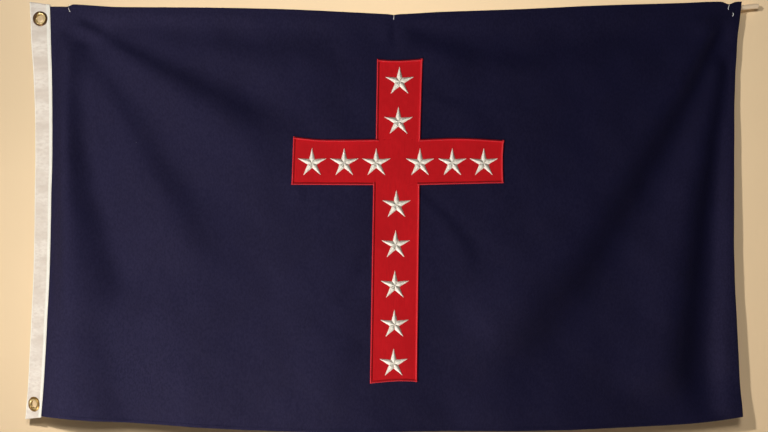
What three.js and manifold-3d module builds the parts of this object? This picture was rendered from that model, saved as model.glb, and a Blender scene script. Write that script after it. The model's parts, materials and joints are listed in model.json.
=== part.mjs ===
// A navy flag with a canvas heading, a red Latin cross and thirteen embroidered stars.
// Three safety pins hold its top edge to a thin wood dowel, which bows under the load.
// Millimetres, +Z up. The face looks along -Y, the hoist is at -X and the fly at +X.
// The origin is at the level of the dowel's ends, midway between the two places that it hangs from.

import * as THREE from 'three';
import { mergeVertices } from 'three/addons/utils/BufferGeometryUtils.js';
import Module from 'manifold-3d';

const wasm = await Module();
wasm.setup();

// ---------------------------------------------------------------- driving dimensions

// Rod: a five-foot dowel
const ROD_DIAMETER = 11;
const ROD_LEFT = -747.5;
const ROD_RIGHT = 776.5;
const ROD_SAG = 24;
const ROD_STEPS = 30;
const ROD_SIDES = 12;

// Cloth layers, each measured along Y from the field's middle surface
const FIELD_THICKNESS = 1.3;
const CROSS_THICKNESS = 1.1;
const STAR_THICKNESS = 1.5;
const CANVAS_THICKNESS = 0.8;
const LAYER_GAP = 0.35;

// Hang of the cloth
const HANG_PLANE = -9.3; // middle surface where the cloth passes the rod
const LEAN_BACK = 0.005; // rise of Y for each millimetre down
const SEAM_ROLL = 15; // length over which the field rolls forward out of the heading
const SEAM_CALM = 42; // the folds die out this near the heading
const TOP_CALM = 78; // and this near the top edge
const BOTTOM_SWAY = 4.5; // amplitude of the wave along the bottom hem
const SWAY_LENGTH = 430;
const SWAY_START = 120;

// Heading
const HEADING_WIDTH = 43;
const HEADING_LAP = 10; // depth of the slot that takes the field's edge
const HEADING_TOP = 6;
const HEADING_BOTTOM = -883;
const FIELD_INSET = 9.4; // how far the field reaches into the slot

// Grommets
const GROMMET_RADIUS = 16;
const GROMMET_BORE = 8.2;
const GROMMET_WALL = 0.8;
const GROMMET_FLANGE = 0.7;
const GROMMET_LIP = 1.9; // height of the rolled lip above the canvas
const GROMMET_RIM = { height: 0.2, tuck: 0.4, rounding: 0.5 };
const GROMMET_SIDES = 28;
// The rolled lip, from the bore outwards. out: beyond the bore. down: below the lip's crown.
const GROMMET_ROLL = [
  { out: 0, down: 0.9 },
  { out: 0.7, down: 0.15 },
  { out: 1.6, down: 0 },
  { out: 4.6, down: 0.7 },
];
const GROMMETS = [
  { name: 'grommet_top', height: -27 },
  { name: 'grommet_bottom', height: -852.5 },
];

// Safety pins
const WIRE_DIAMETER = 1.2;
const WIRE_SIDES = 6;
// behind and below: where the clasp's middle lies from the rod's axis
const CLASP = { width: 5.5, height: 8, thickness: 2.6, corner: 1.2, behind: 2, below: 23.5 };

// Mesh density of the cloth
const ROWS = 28;
const COLUMNS = [2, 20, 21, 2]; // between the heading, the three pins and the fly

// ---------------------------------------------------------------- outline of the hanging cloth

// Hoist, from the top. seamX: where heading and field meet. edgeX: the heading's free edge.
// curl: how steeply the heading turns back there. drop: how much lower its free edge lies.
const HOIST = [
  { z: 6, seamX: -748.8, edgeX: -792.3, curl: 0, drop: -6 },
  { z: -62, seamX: -747.2, edgeX: -789.8, curl: 0, drop: -5 },
  { z: -146, seamX: -746, edgeX: -788.8, curl: 0.155, drop: -4 },
  { z: -232, seamX: -745.9, edgeX: -787.9, curl: 0.245, drop: -3 },
  { z: -318, seamX: -746.4, edgeX: -788.2, curl: 0.275, drop: -2 },
  { z: -404, seamX: -748.9, edgeX: -790.4, curl: 0.3, drop: 0 },
  { z: -490, seamX: -750.7, edgeX: -792, curl: 0.32, drop: 2 },
  { z: -576, seamX: -753.4, edgeX: -794.6, curl: 0.325, drop: 4 },
  { z: -662, seamX: -757.9, edgeX: -799.1, curl: 0.33, drop: 5 },
  { z: -748, seamX: -762.5, edgeX: -803.5, curl: 0.335, drop: 6 },
  { z: -815, seamX: -766.8, edgeX: -807.6, curl: 0.35, drop: 6.7 },
  { z: -883, seamX: -772.5, edgeX: -813.3, curl: 0.355, drop: 7.4 },
];

const FLY = [
  { z: 13, x: 737.2 },
  { z: -17, x: 734 },
  { z: -60, x: 729.5 },
  { z: -146, x: 726.2 },
  { z: -232, x: 723.2 },
  { z: -404, x: 722 },
  { z: -490, x: 721.2 },
  { z: -576, x: 723.3 },
  { z: -662, x: 727.1 },
  { z: -748, x: 731.4 },
  { z: -834, x: 735.9 },
  { z: -879, x: 738.8 },
];

const TOP_EDGE = [
  { x: -748.8, z: 2.2 },
  { x: -714, z: 1.6 },
  { x: -697.7, z: 7 },
  { x: -663, z: 4.9 },
  { x: -599, z: 1.3 },
  { x: -427, z: 0.3 },
  { x: -255, z: -3 },
  { x: -83, z: -10.8 },
  { x: -10, z: -14 },
  { x: 89, z: -9.2 },
  { x: 261, z: -3.2 },
  { x: 433, z: 4.7 },
  { x: 605, z: 9.9 },
  { x: 693, z: 13 },
  { x: 737.2, z: 13 },
];

const BOTTOM_EDGE = [
  { x: -772.5, z: -881 },
  { x: -736, z: -883 },
  { x: -637, z: -890 },
  { x: -534, z: -898 },
  { x: -427, z: -905 },
  { x: -320, z: -911 },
  { x: -160, z: -914 },
  { x: 14, z: -913 },
  { x: 180, z: -912 },
  { x: 347, z: -909 },
  { x: 480, z: -905 },
  { x: 605, z: -898 },
  { x: 684, z: -889 },
  { x: 738.8, z: -879 },
];

// Where a pin's wire presses the top edge down. depth: how far, width: half the width of the dip.
const EDGE_DIPS = [
  { x: -10.5, depth: 4.6, width: 9 },
  { x: 709.5, depth: 8, width: 10 },
];

// ---------------------------------------------------------------- folds

// Each fold swings away from a pin or between two. Going across it from its left or lower side, the cloth
// comes forward to a ridge, falls back past the path into a trough and returns. path: points on the falling
// side. halfWidth and depth go from the fold's start to its end. reach: how far the ridge and the trough
// spread, in half-widths. fadeFrom: the share of its length after which it dies out.
const FOLDS = [
  {
    name: 'hoist_upper',
    path: [[-696, -19], [-599, -79], [-491, -135], [-394, -186], [-298, -240], [-190, -290]],
    halfWidth: [7, 22], depth: [3, 7.5], reach: 2.6, fadeFrom: 0.62,
  },
  {
    name: 'hoist_middle',
    path: [[-690, -48], [-627, -146], [-566, -236], [-513, -328], [-459, -414], [-394, -500], [-290, -552]],
    halfWidth: [8, 24], depth: [2, 5], reach: 2.4, fadeFrom: 0.55,
  },
  {
    name: 'hoist_steep',
    path: [[-698, -42], [-696, -199], [-685, -307], [-663, -414], [-636, -511], [-615, -586], [-590, -690]],
    halfWidth: [9, 27], depth: [4, 9.5], reach: 2.3, fadeFrom: 0.66,
  },
  {
    name: 'hoist_low',
    path: [[-708, -560], [-690, -640], [-676, -700], [-656, -800]],
    halfWidth: [16, 24], depth: [3, 4], reach: 2.4, fadeFrom: 0.6,
  },
  {
    name: 'swag_left',
    path: [[-640, -36], [-502, -58], [-384, -80], [-287, -90], [-169, -88], [-61, -66]],
    halfWidth: [18, 22], depth: [3, 3], reach: 2.2, fadeFrom: 0.62,
  },
  {
    name: 'swag_right',
    path: [[-2, -38], [46, -62], [140, -94], [240, -113], [336, -106], [433, -84], [541, -60], [660, -36]],
    halfWidth: [20, 20], depth: [4, 3], reach: 2.2, fadeFrom: 0.5,
  },
  {
    name: 'fly_long',
    path: [[701, -14], [659, -103], [616, -189], [562, -285], [508, -382], [448, -479], [390, -586],
      [325, -672], [250, -741], [170, -792]],
    halfWidth: [9, 36], depth: [5, 12], reach: 2.5, fadeFrom: 0.6,
  },
  {
    name: 'fly_steep',
    path: [[703, -90], [695, -160], [681, -253], [664, -360], [649, -468], [638, -576], [627, -683],
      [615, -800], [604, -870]],
    halfWidth: [8, 28], depth: [4, 13], reach: 2.2, fadeFrom: 0.78,
  },
];

const PATH_SAMPLES = 40;
const FOLD_FADE_IN = 0.12; // share of its length over which a fold begins

// ---------------------------------------------------------------- appliqué and embroidery

// The cross's twelve corners, clockwise from the top left
const CROSS_CORNERS = [
  { at: 'top left', x: -46, z: -111.4 },
  { at: 'top right', x: 51.4, z: -110.7 },
  { at: 'upper inner right', x: 46.6, z: -283 },
  { at: 'right arm top', x: 226.6, z: -285 },
  { at: 'right arm bottom', x: 225, z: -376.5 },
  { at: 'lower inner right', x: 45.4, z: -380.6 },
  { at: 'foot right', x: 40, z: -805.4 },
  { at: 'foot left', x: -61.3, z: -810 },
  { at: 'lower inner left', x: -54.4, z: -381 },
  { at: 'left arm bottom', x: -230, z: -380 },
  { at: 'left arm top', x: -226, z: -277.6 },
  { at: 'upper inner left', x: -48.8, z: -283 },
];

// Star centres: down the upright, then along the arms
const STARS = [
  { x: 1.9, z: -159 },
  { x: -0.4, z: -245 },
  { x: -4.7, z: -424 },
  { x: -6.5, z: -510 },
  { x: -8.2, z: -597 },
  { x: -9, z: -681 },
  { x: -10.8, z: -765 },
  { x: -186, z: -334 },
  { x: -117, z: -334 },
  { x: -48, z: -334 },
  { x: 46, z: -334 },
  { x: 115.5, z: -334 },
  { x: 183, z: -334 },
];
const STAR_RADIUS = 31.5;
const STAR_WAIST = 0.36; // inner radius as a share of the outer one
const STAR_POINTS = 5;
const CUT_REACH = 60; // how far the cutting outlines run to each side of the rod's axis

// ---------------------------------------------------------------- safety pin routes

// x: to the right of the place, y: depth, z: above the rod's axis. The wire starts in the clasp, climbs
// behind the rod, crosses over the rod and the cloth's edge, and pierces the cloth on its way back down. The
// right pin comes forward once more and goes in again.
const PIN_BACK = [
  { x: 0, y: 4.5, z: -21 },
  { x: 0, y: 6.7, z: -12 },
  { x: 0, y: 7, z: -2 },
  { x: 0, y: 5.5, z: 4.1 },
  { x: 0, y: 0, z: 6.6 },
  { x: 0, y: -6, z: 7.1 },
];
const PIN_INSIDE = [
  { x: 0, y: -7, z: -12 },
  { x: 0, y: -3.5, z: -19 },
];
const PIN_END = { x: 0, y: -0.5, z: -22.5 };
const PINS = [
  {
    name: 'pin_left',
    place: -708.5,
    steps: 30,
    front: [
      { x: 0.3, y: -10.4, z: 6.2 },
      { x: 1.2, y: -11.1, z: 2 },
      { x: 2.6, y: -10.9, z: -2.5 },
      { x: 2.2, y: -7.4, z: -6 },
      ...PIN_INSIDE,
    ],
  },
  {
    name: 'pin_centre',
    place: -10.5,
    steps: 30,
    front: [
      { x: 0, y: -10.4, z: 6.2 },
      { x: 0.2, y: -11.1, z: 2.5 },
      { x: -0.3, y: -10.9, z: -1.5 },
      { x: 0, y: -7.4, z: -5 },
      ...PIN_INSIDE,
    ],
  },
  {
    name: 'pin_right',
    place: 709.5,
    steps: 44,
    front: [
      { x: 0, y: -10.4, z: 6.2 },
      { x: -1.2, y: -11.1, z: 2 },
      { x: -2.2, y: -10.7, z: -2 },
      { x: 2.4, y: -7.5, z: -6 },
      { x: 7, y: -7.7, z: -9.4 },
      { x: 8.6, y: -10.9, z: -12.6 },
      { x: 8.6, y: -10.9, z: -16 },
      { x: 6.6, y: -7.4, z: -20 },
      { x: 3.4, y: -4.4, z: -22 },
    ],
  },
];

// ---------------------------------------------------------------- looks

function finish(color, roughness, metalness) {
  return new THREE.MeshStandardMaterial({ color, roughness, metalness });
}

const NAVY = finish(0x252338, 0.85, 0);
const RED = finish(0xbc161e, 0.8, 0);
const WHITE_THREAD = finish(0xf2ecdc, 0.6, 0);
const CANVAS = finish(0xe6ded2, 0.9, 0);
const BRASS = finish(0xc8a55a, 0.3, 1);
const DOWEL = finish(0xe1c8a5, 0.7, 0);
const STEEL = finish(0xc8c8cc, 0.3, 1);

// ---------------------------------------------------------------- small helpers

const mix = (a, b, share) => a + (b - a) * share;

function ramp(from, to, value) {
  const share = Math.min(1, Math.max(0, (value - from) / (to - from)));
  return share * share * (3 - 2 * share);
}

// A smooth curve through a table's rows that never overshoots them
function along(rows, by, key, at) {
  const step = (i) => rows[i + 1][by] - rows[i][by];
  const slope = (i) => (rows[i + 1][key] - rows[i][key]) / step(i);
  const last = rows.length - 2;
  const falling = step(0) < 0;
  let i = 0;
  while (i < last && (falling ? at < rows[i + 1][by] : at > rows[i + 1][by])) i += 1;
  const tangent = (k) => {
    if (k === 0) return slope(0);
    if (k > last) return slope(last);
    const before = slope(k - 1);
    const after = slope(k);
    return before * after <= 0 ? 0 : (2 * before * after) / (before + after);
  };
  const h = step(i);
  const t = Math.min(1, Math.max(0, (at - rows[i][by]) / h));
  const rise = rows[i + 1][key] - rows[i][key];
  const start = tangent(i) * h;
  const end = tangent(i + 1) * h;
  const bend = 3 * rise - 2 * start - end;
  return rows[i][key] + start * t + bend * t * t + (start + end - 2 * rise) * t * t * t;
}

// ---------------------------------------------------------------- the drape

const seamX = (z) => along(HOIST, 'z', 'seamX', z);
const seamCurl = (z) => along(HOIST, 'z', 'curl', z);
const hangDepth = (z) => HANG_PLANE - LEAN_BACK * z;
const seamDepth = (z) => hangDepth(z) + seamCurl(z) * SEAM_ROLL;

function topHeight(x) {
  const dips = EDGE_DIPS.map((dip) => dip.depth * Math.exp(-(((x - dip.x) / dip.width) ** 2)));
  return along(TOP_EDGE, 'x', 'z', x) - dips.reduce((sum, dip) => sum + dip, 0);
}

// Each fold's path as a fine polyline, worked out once
const foldRoutes = FOLDS.map((fold) => {
  const points = fold.path.map(([x, z]) => new THREE.Vector3(x, z, 0));
  return new THREE.CatmullRomCurve3(points, false, 'centripetal').getSpacedPoints(PATH_SAMPLES);
});

// Nearest place on a route: how far along it, and the signed distance, positive to the right or above
function nearestOn(route, x, z) {
  let best = { distance: Infinity, share: 0, side: 1 };
  for (let i = 0; i < PATH_SAMPLES; i += 1) {
    const a = route[i];
    const dx = route[i + 1].x - a.x;
    const dz = route[i + 1].y - a.y;
    const t = Math.min(1, Math.max(0, ((x - a.x) * dx + (z - a.y) * dz) / (dx * dx + dz * dz)));
    const offX = x - a.x - dx * t;
    const offZ = z - a.y - dz * t;
    const distance = Math.hypot(offX, offZ);
    if (distance < best.distance) {
      const leftOfRoute = dx * offZ - dz * offX > 0;
      best = { distance, share: (i + t) / PATH_SAMPLES, side: leftOfRoute ? 1 : -1 };
    }
  }
  return best;
}

function foldDepth(fold, route, x, z) {
  const near = nearestOn(route, x, z);
  const halfWidth = mix(fold.halfWidth[0], fold.halfWidth[1], near.share);
  const depth = mix(fold.depth[0], fold.depth[1], near.share);
  const s = (near.side * near.distance) / halfWidth;
  const strength = ramp(0, FOLD_FADE_IN, near.share) * (1 - ramp(fold.fadeFrom, 1, near.share));
  return depth * strength * Math.tanh(s) * Math.exp(-((s / fold.reach) ** 2));
}

// Y of the field's middle surface
function fieldDepth(x, z) {
  const fromSeam = Math.max(0, x - seamX(z));
  const calm = (1 - Math.exp(-((fromSeam / SEAM_CALM) ** 2))) * ramp(0, TOP_CALM, topHeight(x) - z);
  const folds = FOLDS.reduce((sum, fold, i) => sum + foldDepth(fold, foldRoutes[i], x, z), 0);
  const low = ramp(SWAY_START, -HEADING_BOTTOM, -z);
  const sway = BOTTOM_SWAY * low * Math.sin((2 * Math.PI * x) / SWAY_LENGTH);
  return hangDepth(z) + seamCurl(z) * SEAM_ROLL * Math.exp(-fromSeam / SEAM_ROLL) + (folds + sway) * calm;
}

// A place on the heading's middle surface: z at the seam, inward from the seam towards the free edge
function headingPoint(z, inward) {
  const share = inward / HEADING_WIDTH;
  const run = seamX(z) - along(HOIST, 'z', 'edgeX', z);
  return new THREE.Vector3(
    seamX(z) - run * share,
    seamDepth(z) + seamCurl(z) * run * share,
    z - along(HOIST, 'z', 'drop', z) * share,
  );
}

// A place on the field's middle surface: u from the seam to the fly, v from the top edge to the bottom edge
function fieldPoint(u, v) {
  const [topLeft, topRight] = [TOP_EDGE[0], TOP_EDGE.at(-1)];
  const [bottomLeft, bottomRight] = [BOTTOM_EDGE[0], BOTTOM_EDGE.at(-1)];
  const seam = seamX(mix(topLeft.z, bottomLeft.z, v));
  const fly = along(FLY, 'z', 'x', mix(topRight.z, bottomRight.z, v));
  const top = topHeight(mix(topLeft.x, topRight.x, u));
  const bottom = along(BOTTOM_EDGE, 'x', 'z', mix(bottomLeft.x, bottomRight.x, u));
  const x = mix(seam, fly, u);
  const z = mix(top, bottom, v);
  return new THREE.Vector3(x, fieldDepth(x, z), z);
}

// ---------------------------------------------------------------- solids

// Join rings of equally many points, from the top down. Each quad is split from its upper left to its lower
// right corner, as the sheets are, so that twisted faces stay parallel.
function loft(rings) {
  const size = rings[0].length;
  const index = [];
  for (let r = 0; r < rings.length - 1; r += 1) {
    for (let k = 0; k < size; k += 1) {
      const next = (k + 1) % size;
      const a = r * size + k;
      const b = r * size + next;
      const c = b + size;
      const d = a + size;
      const split = rings[r][k].x < rings[r][next].x ? [a, b, c, a, c, d] : [a, b, d, b, c, d];
      index.push(...split);
    }
  }
  return { position: rings.flat().flatMap((point) => point.toArray()), index };
}

function toGeometry(position, index) {
  const geometry = new THREE.BufferGeometry();
  geometry.setAttribute('position', new THREE.Float32BufferAttribute(position, 3));
  geometry.setIndex(index);
  return geometry;
}

// A closed sheet on a grid of middle points, between two depths along Y
function sheetGeometry(grid, front, back) {
  const rows = grid.length;
  const columns = grid[0].length;
  const layer = (offset) => grid.flat().flatMap((point) => [point.x, point.y + offset, point.z]);
  const position = [...layer(front), ...layer(back)];
  const far = rows * columns;
  const at = (row, column) => row * columns + column;
  const index = [];
  for (let row = 0; row < rows - 1; row += 1) {
    for (let column = 0; column < columns - 1; column += 1) {
      const a = at(row, column);
      const b = at(row, column + 1);
      const c = at(row + 1, column);
      const d = at(row + 1, column + 1);
      index.push(a, c, d, a, d, b);
      index.push(a + far, d + far, c + far, a + far, b + far, d + far);
    }
  }
  const wall = (a, b) => index.push(a, b, b + far, a, b + far, a + far);
  for (let column = 0; column < columns - 1; column += 1) {
    wall(at(0, column), at(0, column + 1));
    wall(at(rows - 1, column + 1), at(rows - 1, column));
  }
  for (let row = 0; row < rows - 1; row += 1) {
    wall(at(row + 1, 0), at(row, 0));
    wall(at(row, columns - 1), at(row + 1, columns - 1));
  }
  return toGeometry(position, index);
}

function toManifold(geometry) {
  const bare = geometry.clone();
  bare.deleteAttribute('normal');
  bare.deleteAttribute('uv');
  const merged = mergeVertices(bare);
  const mesh = new wasm.Mesh({
    numProp: 3,
    vertProperties: new Float32Array(merged.attributes.position.array),
    triVerts: new Uint32Array(merged.index.array),
  });
  return new wasm.Manifold(mesh);
}

function fromManifold(solid) {
  const mesh = solid.getMesh();
  return toGeometry(Array.from(mesh.vertProperties), Array.from(mesh.triVerts));
}

function piece(name, geometry, material) {
  const shaded = geometry.index ? geometry.toNonIndexed() : geometry;
  shaded.computeVertexNormals();
  const mesh = new THREE.Mesh(shaded, material);
  mesh.name = name;
  return mesh;
}

// ---------------------------------------------------------------- rod

class Bow extends THREE.Curve {
  getPoint(t, target = new THREE.Vector3()) {
    return target.set(mix(ROD_LEFT, ROD_RIGHT, t), 0, (-ROD_SAG / 2) * (1 - Math.cos(2 * Math.PI * t)));
  }
}

const rodHeight = (x) => new Bow().getPoint((x - ROD_LEFT) / (ROD_RIGHT - ROD_LEFT)).z;

function disc(radius, sides) {
  const corners = Array.from({ length: sides }, (_, k) => (2 * Math.PI * k) / sides);
  return new THREE.Shape(corners.map((a) => new THREE.Vector2(radius * Math.cos(a), radius * Math.sin(a))));
}

function makeRod() {
  const options = { steps: ROD_STEPS, extrudePath: new Bow() };
  return piece('rod', new THREE.ExtrudeGeometry(disc(ROD_DIAMETER / 2, ROD_SIDES), options), DOWEL);
}

// ---------------------------------------------------------------- safety pins

function pinWire(pin, radius) {
  const route = [...PIN_BACK, ...pin.front, PIN_END];
  const axis = rodHeight(pin.place);
  const points = route.map((stop) => new THREE.Vector3(pin.place + stop.x, stop.y, axis + stop.z));
  const curve = new THREE.CatmullRomCurve3(points, false, 'centripetal');
  return new THREE.ExtrudeGeometry(disc(radius, WIRE_SIDES), { steps: pin.steps, extrudePath: curve });
}

function pinClasp(pin) {
  const { width, height, thickness, corner } = CLASP;
  const shape = new THREE.Shape();
  shape.moveTo(-width / 2, height / 2);
  shape.lineTo(-width / 2, corner - height / 2);
  shape.lineTo(corner - width / 2, -height / 2);
  shape.lineTo(width / 2 - corner, -height / 2);
  shape.lineTo(width / 2, corner - height / 2);
  shape.lineTo(width / 2, height / 2);
  const clasp = new THREE.ExtrudeGeometry(shape, { depth: thickness, bevelEnabled: false });
  clasp.translate(0, 0, -thickness / 2);
  clasp.rotateX(Math.PI / 2);
  clasp.rotateZ(Math.PI / 2);
  clasp.translate(pin.place, CLASP.behind, rodHeight(pin.place) - CLASP.below);
  return clasp;
}

function makePin(pin) {
  const solid = toManifold(pinWire(pin, WIRE_DIAMETER / 2)).add(toManifold(pinClasp(pin)));
  return piece(pin.name, fromManifold(solid), STEEL);
}

// ---------------------------------------------------------------- cloth

// Shares of the way across at which the columns stand, with one at each pin
function columnShares() {
  const width = TOP_EDGE.at(-1).x - TOP_EDGE[0].x;
  const stops = [0, ...PINS.map((pin) => (pin.place - TOP_EDGE[0].x) / width), 1];
  const shares = COLUMNS.flatMap((count, k) => (
    Array.from({ length: count }, (_, i) => mix(stops[k], stops[k + 1], i / count))));
  return [...shares, 1];
}

const middleGrid = Array.from({ length: ROWS + 1 }, (_, row) => (
  columnShares().map((u) => fieldPoint(u, row / ROWS))));

// The field also reaches into the heading's slot
function makeField() {
  const grid = middleGrid.map((row) => [headingPoint(row[0].z, FIELD_INSET), ...row]);
  const cloth = toManifold(sheetGeometry(grid, -FIELD_THICKNESS / 2, FIELD_THICKNESS / 2));
  const holes = PINS.map((pin) => toManifold(pinWire(pin, WIRE_DIAMETER / 2 + LAYER_GAP)));
  return piece('field', fromManifold(holes.reduce((left, hole) => left.subtract(hole), cloth)), NAVY);
}

// The part of a layer of cloth that lies within an outline
function cutFromLayer(outline, front, back) {
  const prism = new THREE.ExtrudeGeometry(outline, { depth: 2 * CUT_REACH, bevelEnabled: false });
  prism.rotateX(Math.PI / 2);
  prism.translate(0, CUT_REACH, 0);
  return fromManifold(toManifold(sheetGeometry(middleGrid, front, back)).intersect(toManifold(prism)));
}

const CROSS_BACK = -FIELD_THICKNESS / 2 - LAYER_GAP;
const CROSS_FRONT = CROSS_BACK - CROSS_THICKNESS;
const STAR_BACK = CROSS_FRONT - LAYER_GAP;
const STAR_FRONT = STAR_BACK - STAR_THICKNESS;

function makeCross() {
  const outline = new THREE.Shape(CROSS_CORNERS.map((corner) => new THREE.Vector2(corner.x, corner.z)));
  return piece('cross', cutFromLayer(outline, CROSS_FRONT, CROSS_BACK), RED);
}

function makeStar(star, number) {
  const tips = Array.from({ length: 2 * STAR_POINTS }, (_, k) => {
    const radius = k % 2 ? STAR_RADIUS * STAR_WAIST : STAR_RADIUS;
    const angle = Math.PI / 2 - (Math.PI * k) / STAR_POINTS;
    return new THREE.Vector2(star.x + radius * Math.cos(angle), star.z + radius * Math.sin(angle));
  });
  const name = `star_${String(number + 1).padStart(2, '0')}`;
  return piece(name, cutFromLayer(new THREE.Shape(tips), STAR_FRONT, STAR_BACK), WHITE_THREAD);
}

// ---------------------------------------------------------------- heading and grommets

const SLOT_FACE = FIELD_THICKNESS / 2 + LAYER_GAP;
const HEADING_FACE = SLOT_FACE + CANVAS_THICKNESS;

// Triangles over the tape's section, by the places of its points in headingRing
const TAPE_END = [[0, 1, 8], [0, 8, 9], [1, 2, 8], [8, 2, 7], [7, 2, 3], [7, 3, 4], [4, 5, 6], [4, 6, 7]];

// The tape's section, from the front at the seam round the free edge to the back, then round the slot
function headingRing(z) {
  const section = [
    [0, -HEADING_FACE], [HEADING_LAP, -HEADING_FACE], [HEADING_WIDTH, -HEADING_FACE],
    [HEADING_WIDTH, HEADING_FACE], [HEADING_LAP, HEADING_FACE], [0, HEADING_FACE],
    [0, SLOT_FACE], [HEADING_LAP, SLOT_FACE], [HEADING_LAP, -SLOT_FACE], [0, -SLOT_FACE],
  ];
  return section.map(([inward, offset]) => {
    const point = headingPoint(z, inward);
    point.y += offset;
    return point;
  });
}

// Where a grommet sits, and how it faces
function grommetSeat(grommet) {
  const middle = HEADING_WIDTH / 2;
  const centre = headingPoint(grommet.height, middle);
  const across = headingPoint(grommet.height, HEADING_WIDTH).sub(headingPoint(grommet.height, 0));
  const above = headingPoint(grommet.height + middle, middle);
  const down = headingPoint(grommet.height - middle, middle).sub(above);
  const facing = down.cross(across).normalize();
  const turn = new THREE.Quaternion().setFromUnitVectors(new THREE.Vector3(0, 1, 0), facing);
  return { centre, turn, facing };
}

function makeHeading() {
  const heights = [HEADING_TOP, ...middleGrid.map((row) => row[0].z), HEADING_BOTTOM];
  const rings = heights.map(headingRing);
  const { position, index } = loft(rings);
  const size = rings[0].length;
  const end = (rings.length - 1) * size;
  TAPE_END.forEach(([a, b, c]) => index.push(a, c, b, a + end, b + end, c + end));
  const holes = GROMMETS.map((grommet) => {
    const { centre, turn } = grommetSeat(grommet);
    const radius = GROMMET_BORE + GROMMET_WALL + LAYER_GAP;
    const hole = new THREE.CylinderGeometry(radius, radius, GROMMET_RADIUS, GROMMET_SIDES);
    return toManifold(hole.applyQuaternion(turn).translate(...centre.toArray()));
  });
  const tape = toManifold(toGeometry(position, index));
  return piece('heading', fromManifold(holes.reduce((left, hole) => left.subtract(hole), tape)), CANVAS);
}

function makeGrommet(grommet) {
  const { centre, turn, facing } = grommetSeat(grommet);
  const under = HEADING_FACE * Math.abs(facing.y) + LAYER_GAP;
  const lip = under + GROMMET_LIP;
  const half = [
    [GROMMET_BORE, 0],
    ...GROMMET_ROLL.map((stop) => [GROMMET_BORE + stop.out, lip - stop.down]),
    [GROMMET_RADIUS - GROMMET_RIM.rounding, under + GROMMET_FLANGE],
    [GROMMET_RADIUS, under + GROMMET_RIM.height],
    [GROMMET_RADIUS - GROMMET_RIM.tuck, under],
    [GROMMET_BORE + GROMMET_WALL, under],
  ];
  const lower = half.map(([r, h]) => new THREE.Vector2(r, -h));
  const upper = half.slice(1).reverse().map(([r, h]) => new THREE.Vector2(r, h));
  const profile = [...lower, ...upper, lower[0].clone()];
  const mesh = piece(grommet.name, new THREE.LatheGeometry(profile, GROMMET_SIDES), BRASS);
  mesh.position.copy(centre);
  mesh.quaternion.copy(turn);
  return mesh;
}

// ---------------------------------------------------------------- the flag

const flag = new THREE.Group();
flag.add(makeField(), makeHeading(), makeCross(), ...STARS.map(makeStar));
flag.add(...GROMMETS.map(makeGrommet), makeRod(), ...PINS.map(makePin));

export default flag;
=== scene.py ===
"""A navy flag with a red appliqué cross and thirteen satin-stitched stars, pinned to a thin dowel.

Shapes are worked out in millimetres in the CAD model's frame, and become metres when a mesh is made.
The face looks along -Y, the hoist is at -X and the fly at +X.
"""

import json
import math

import bpy
import numpy as np
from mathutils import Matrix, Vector

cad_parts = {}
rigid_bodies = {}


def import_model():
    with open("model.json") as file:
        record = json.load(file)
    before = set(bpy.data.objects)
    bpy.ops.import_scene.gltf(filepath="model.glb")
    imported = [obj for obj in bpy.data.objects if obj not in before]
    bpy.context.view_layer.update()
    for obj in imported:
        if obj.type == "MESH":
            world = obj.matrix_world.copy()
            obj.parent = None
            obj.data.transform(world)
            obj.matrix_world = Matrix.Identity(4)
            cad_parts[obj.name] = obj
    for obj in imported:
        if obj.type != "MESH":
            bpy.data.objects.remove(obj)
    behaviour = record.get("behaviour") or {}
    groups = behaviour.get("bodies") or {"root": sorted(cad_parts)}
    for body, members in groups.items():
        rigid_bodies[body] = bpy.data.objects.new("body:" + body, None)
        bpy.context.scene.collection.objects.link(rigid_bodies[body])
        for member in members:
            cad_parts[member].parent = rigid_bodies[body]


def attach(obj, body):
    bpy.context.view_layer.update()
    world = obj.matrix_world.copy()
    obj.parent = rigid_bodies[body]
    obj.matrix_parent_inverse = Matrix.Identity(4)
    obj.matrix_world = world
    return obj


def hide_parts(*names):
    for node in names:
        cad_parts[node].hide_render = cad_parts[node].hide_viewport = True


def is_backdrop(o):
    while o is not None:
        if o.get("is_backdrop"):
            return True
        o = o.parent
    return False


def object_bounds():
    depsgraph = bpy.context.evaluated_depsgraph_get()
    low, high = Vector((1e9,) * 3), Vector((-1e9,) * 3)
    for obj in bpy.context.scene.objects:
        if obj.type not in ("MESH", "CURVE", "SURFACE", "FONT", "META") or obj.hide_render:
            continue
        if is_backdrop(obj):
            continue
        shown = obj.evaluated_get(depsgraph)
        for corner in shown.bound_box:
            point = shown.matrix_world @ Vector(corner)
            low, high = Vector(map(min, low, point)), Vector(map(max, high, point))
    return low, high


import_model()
cad_low, cad_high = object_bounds()

MM = 0.001


# ---- the hanging cloth's tables
# The outline and the curl at the hoist are the CAD model's. The folds are deeper than its folds, the dips at
# the pins are shallower, and the cross's edges bow.


def table(columns, *rows):
    """A short table as a dictionary of its named columns."""
    return {name: np.array([row[k] for row in rows], float) for k, name in enumerate(columns.split())}


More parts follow.
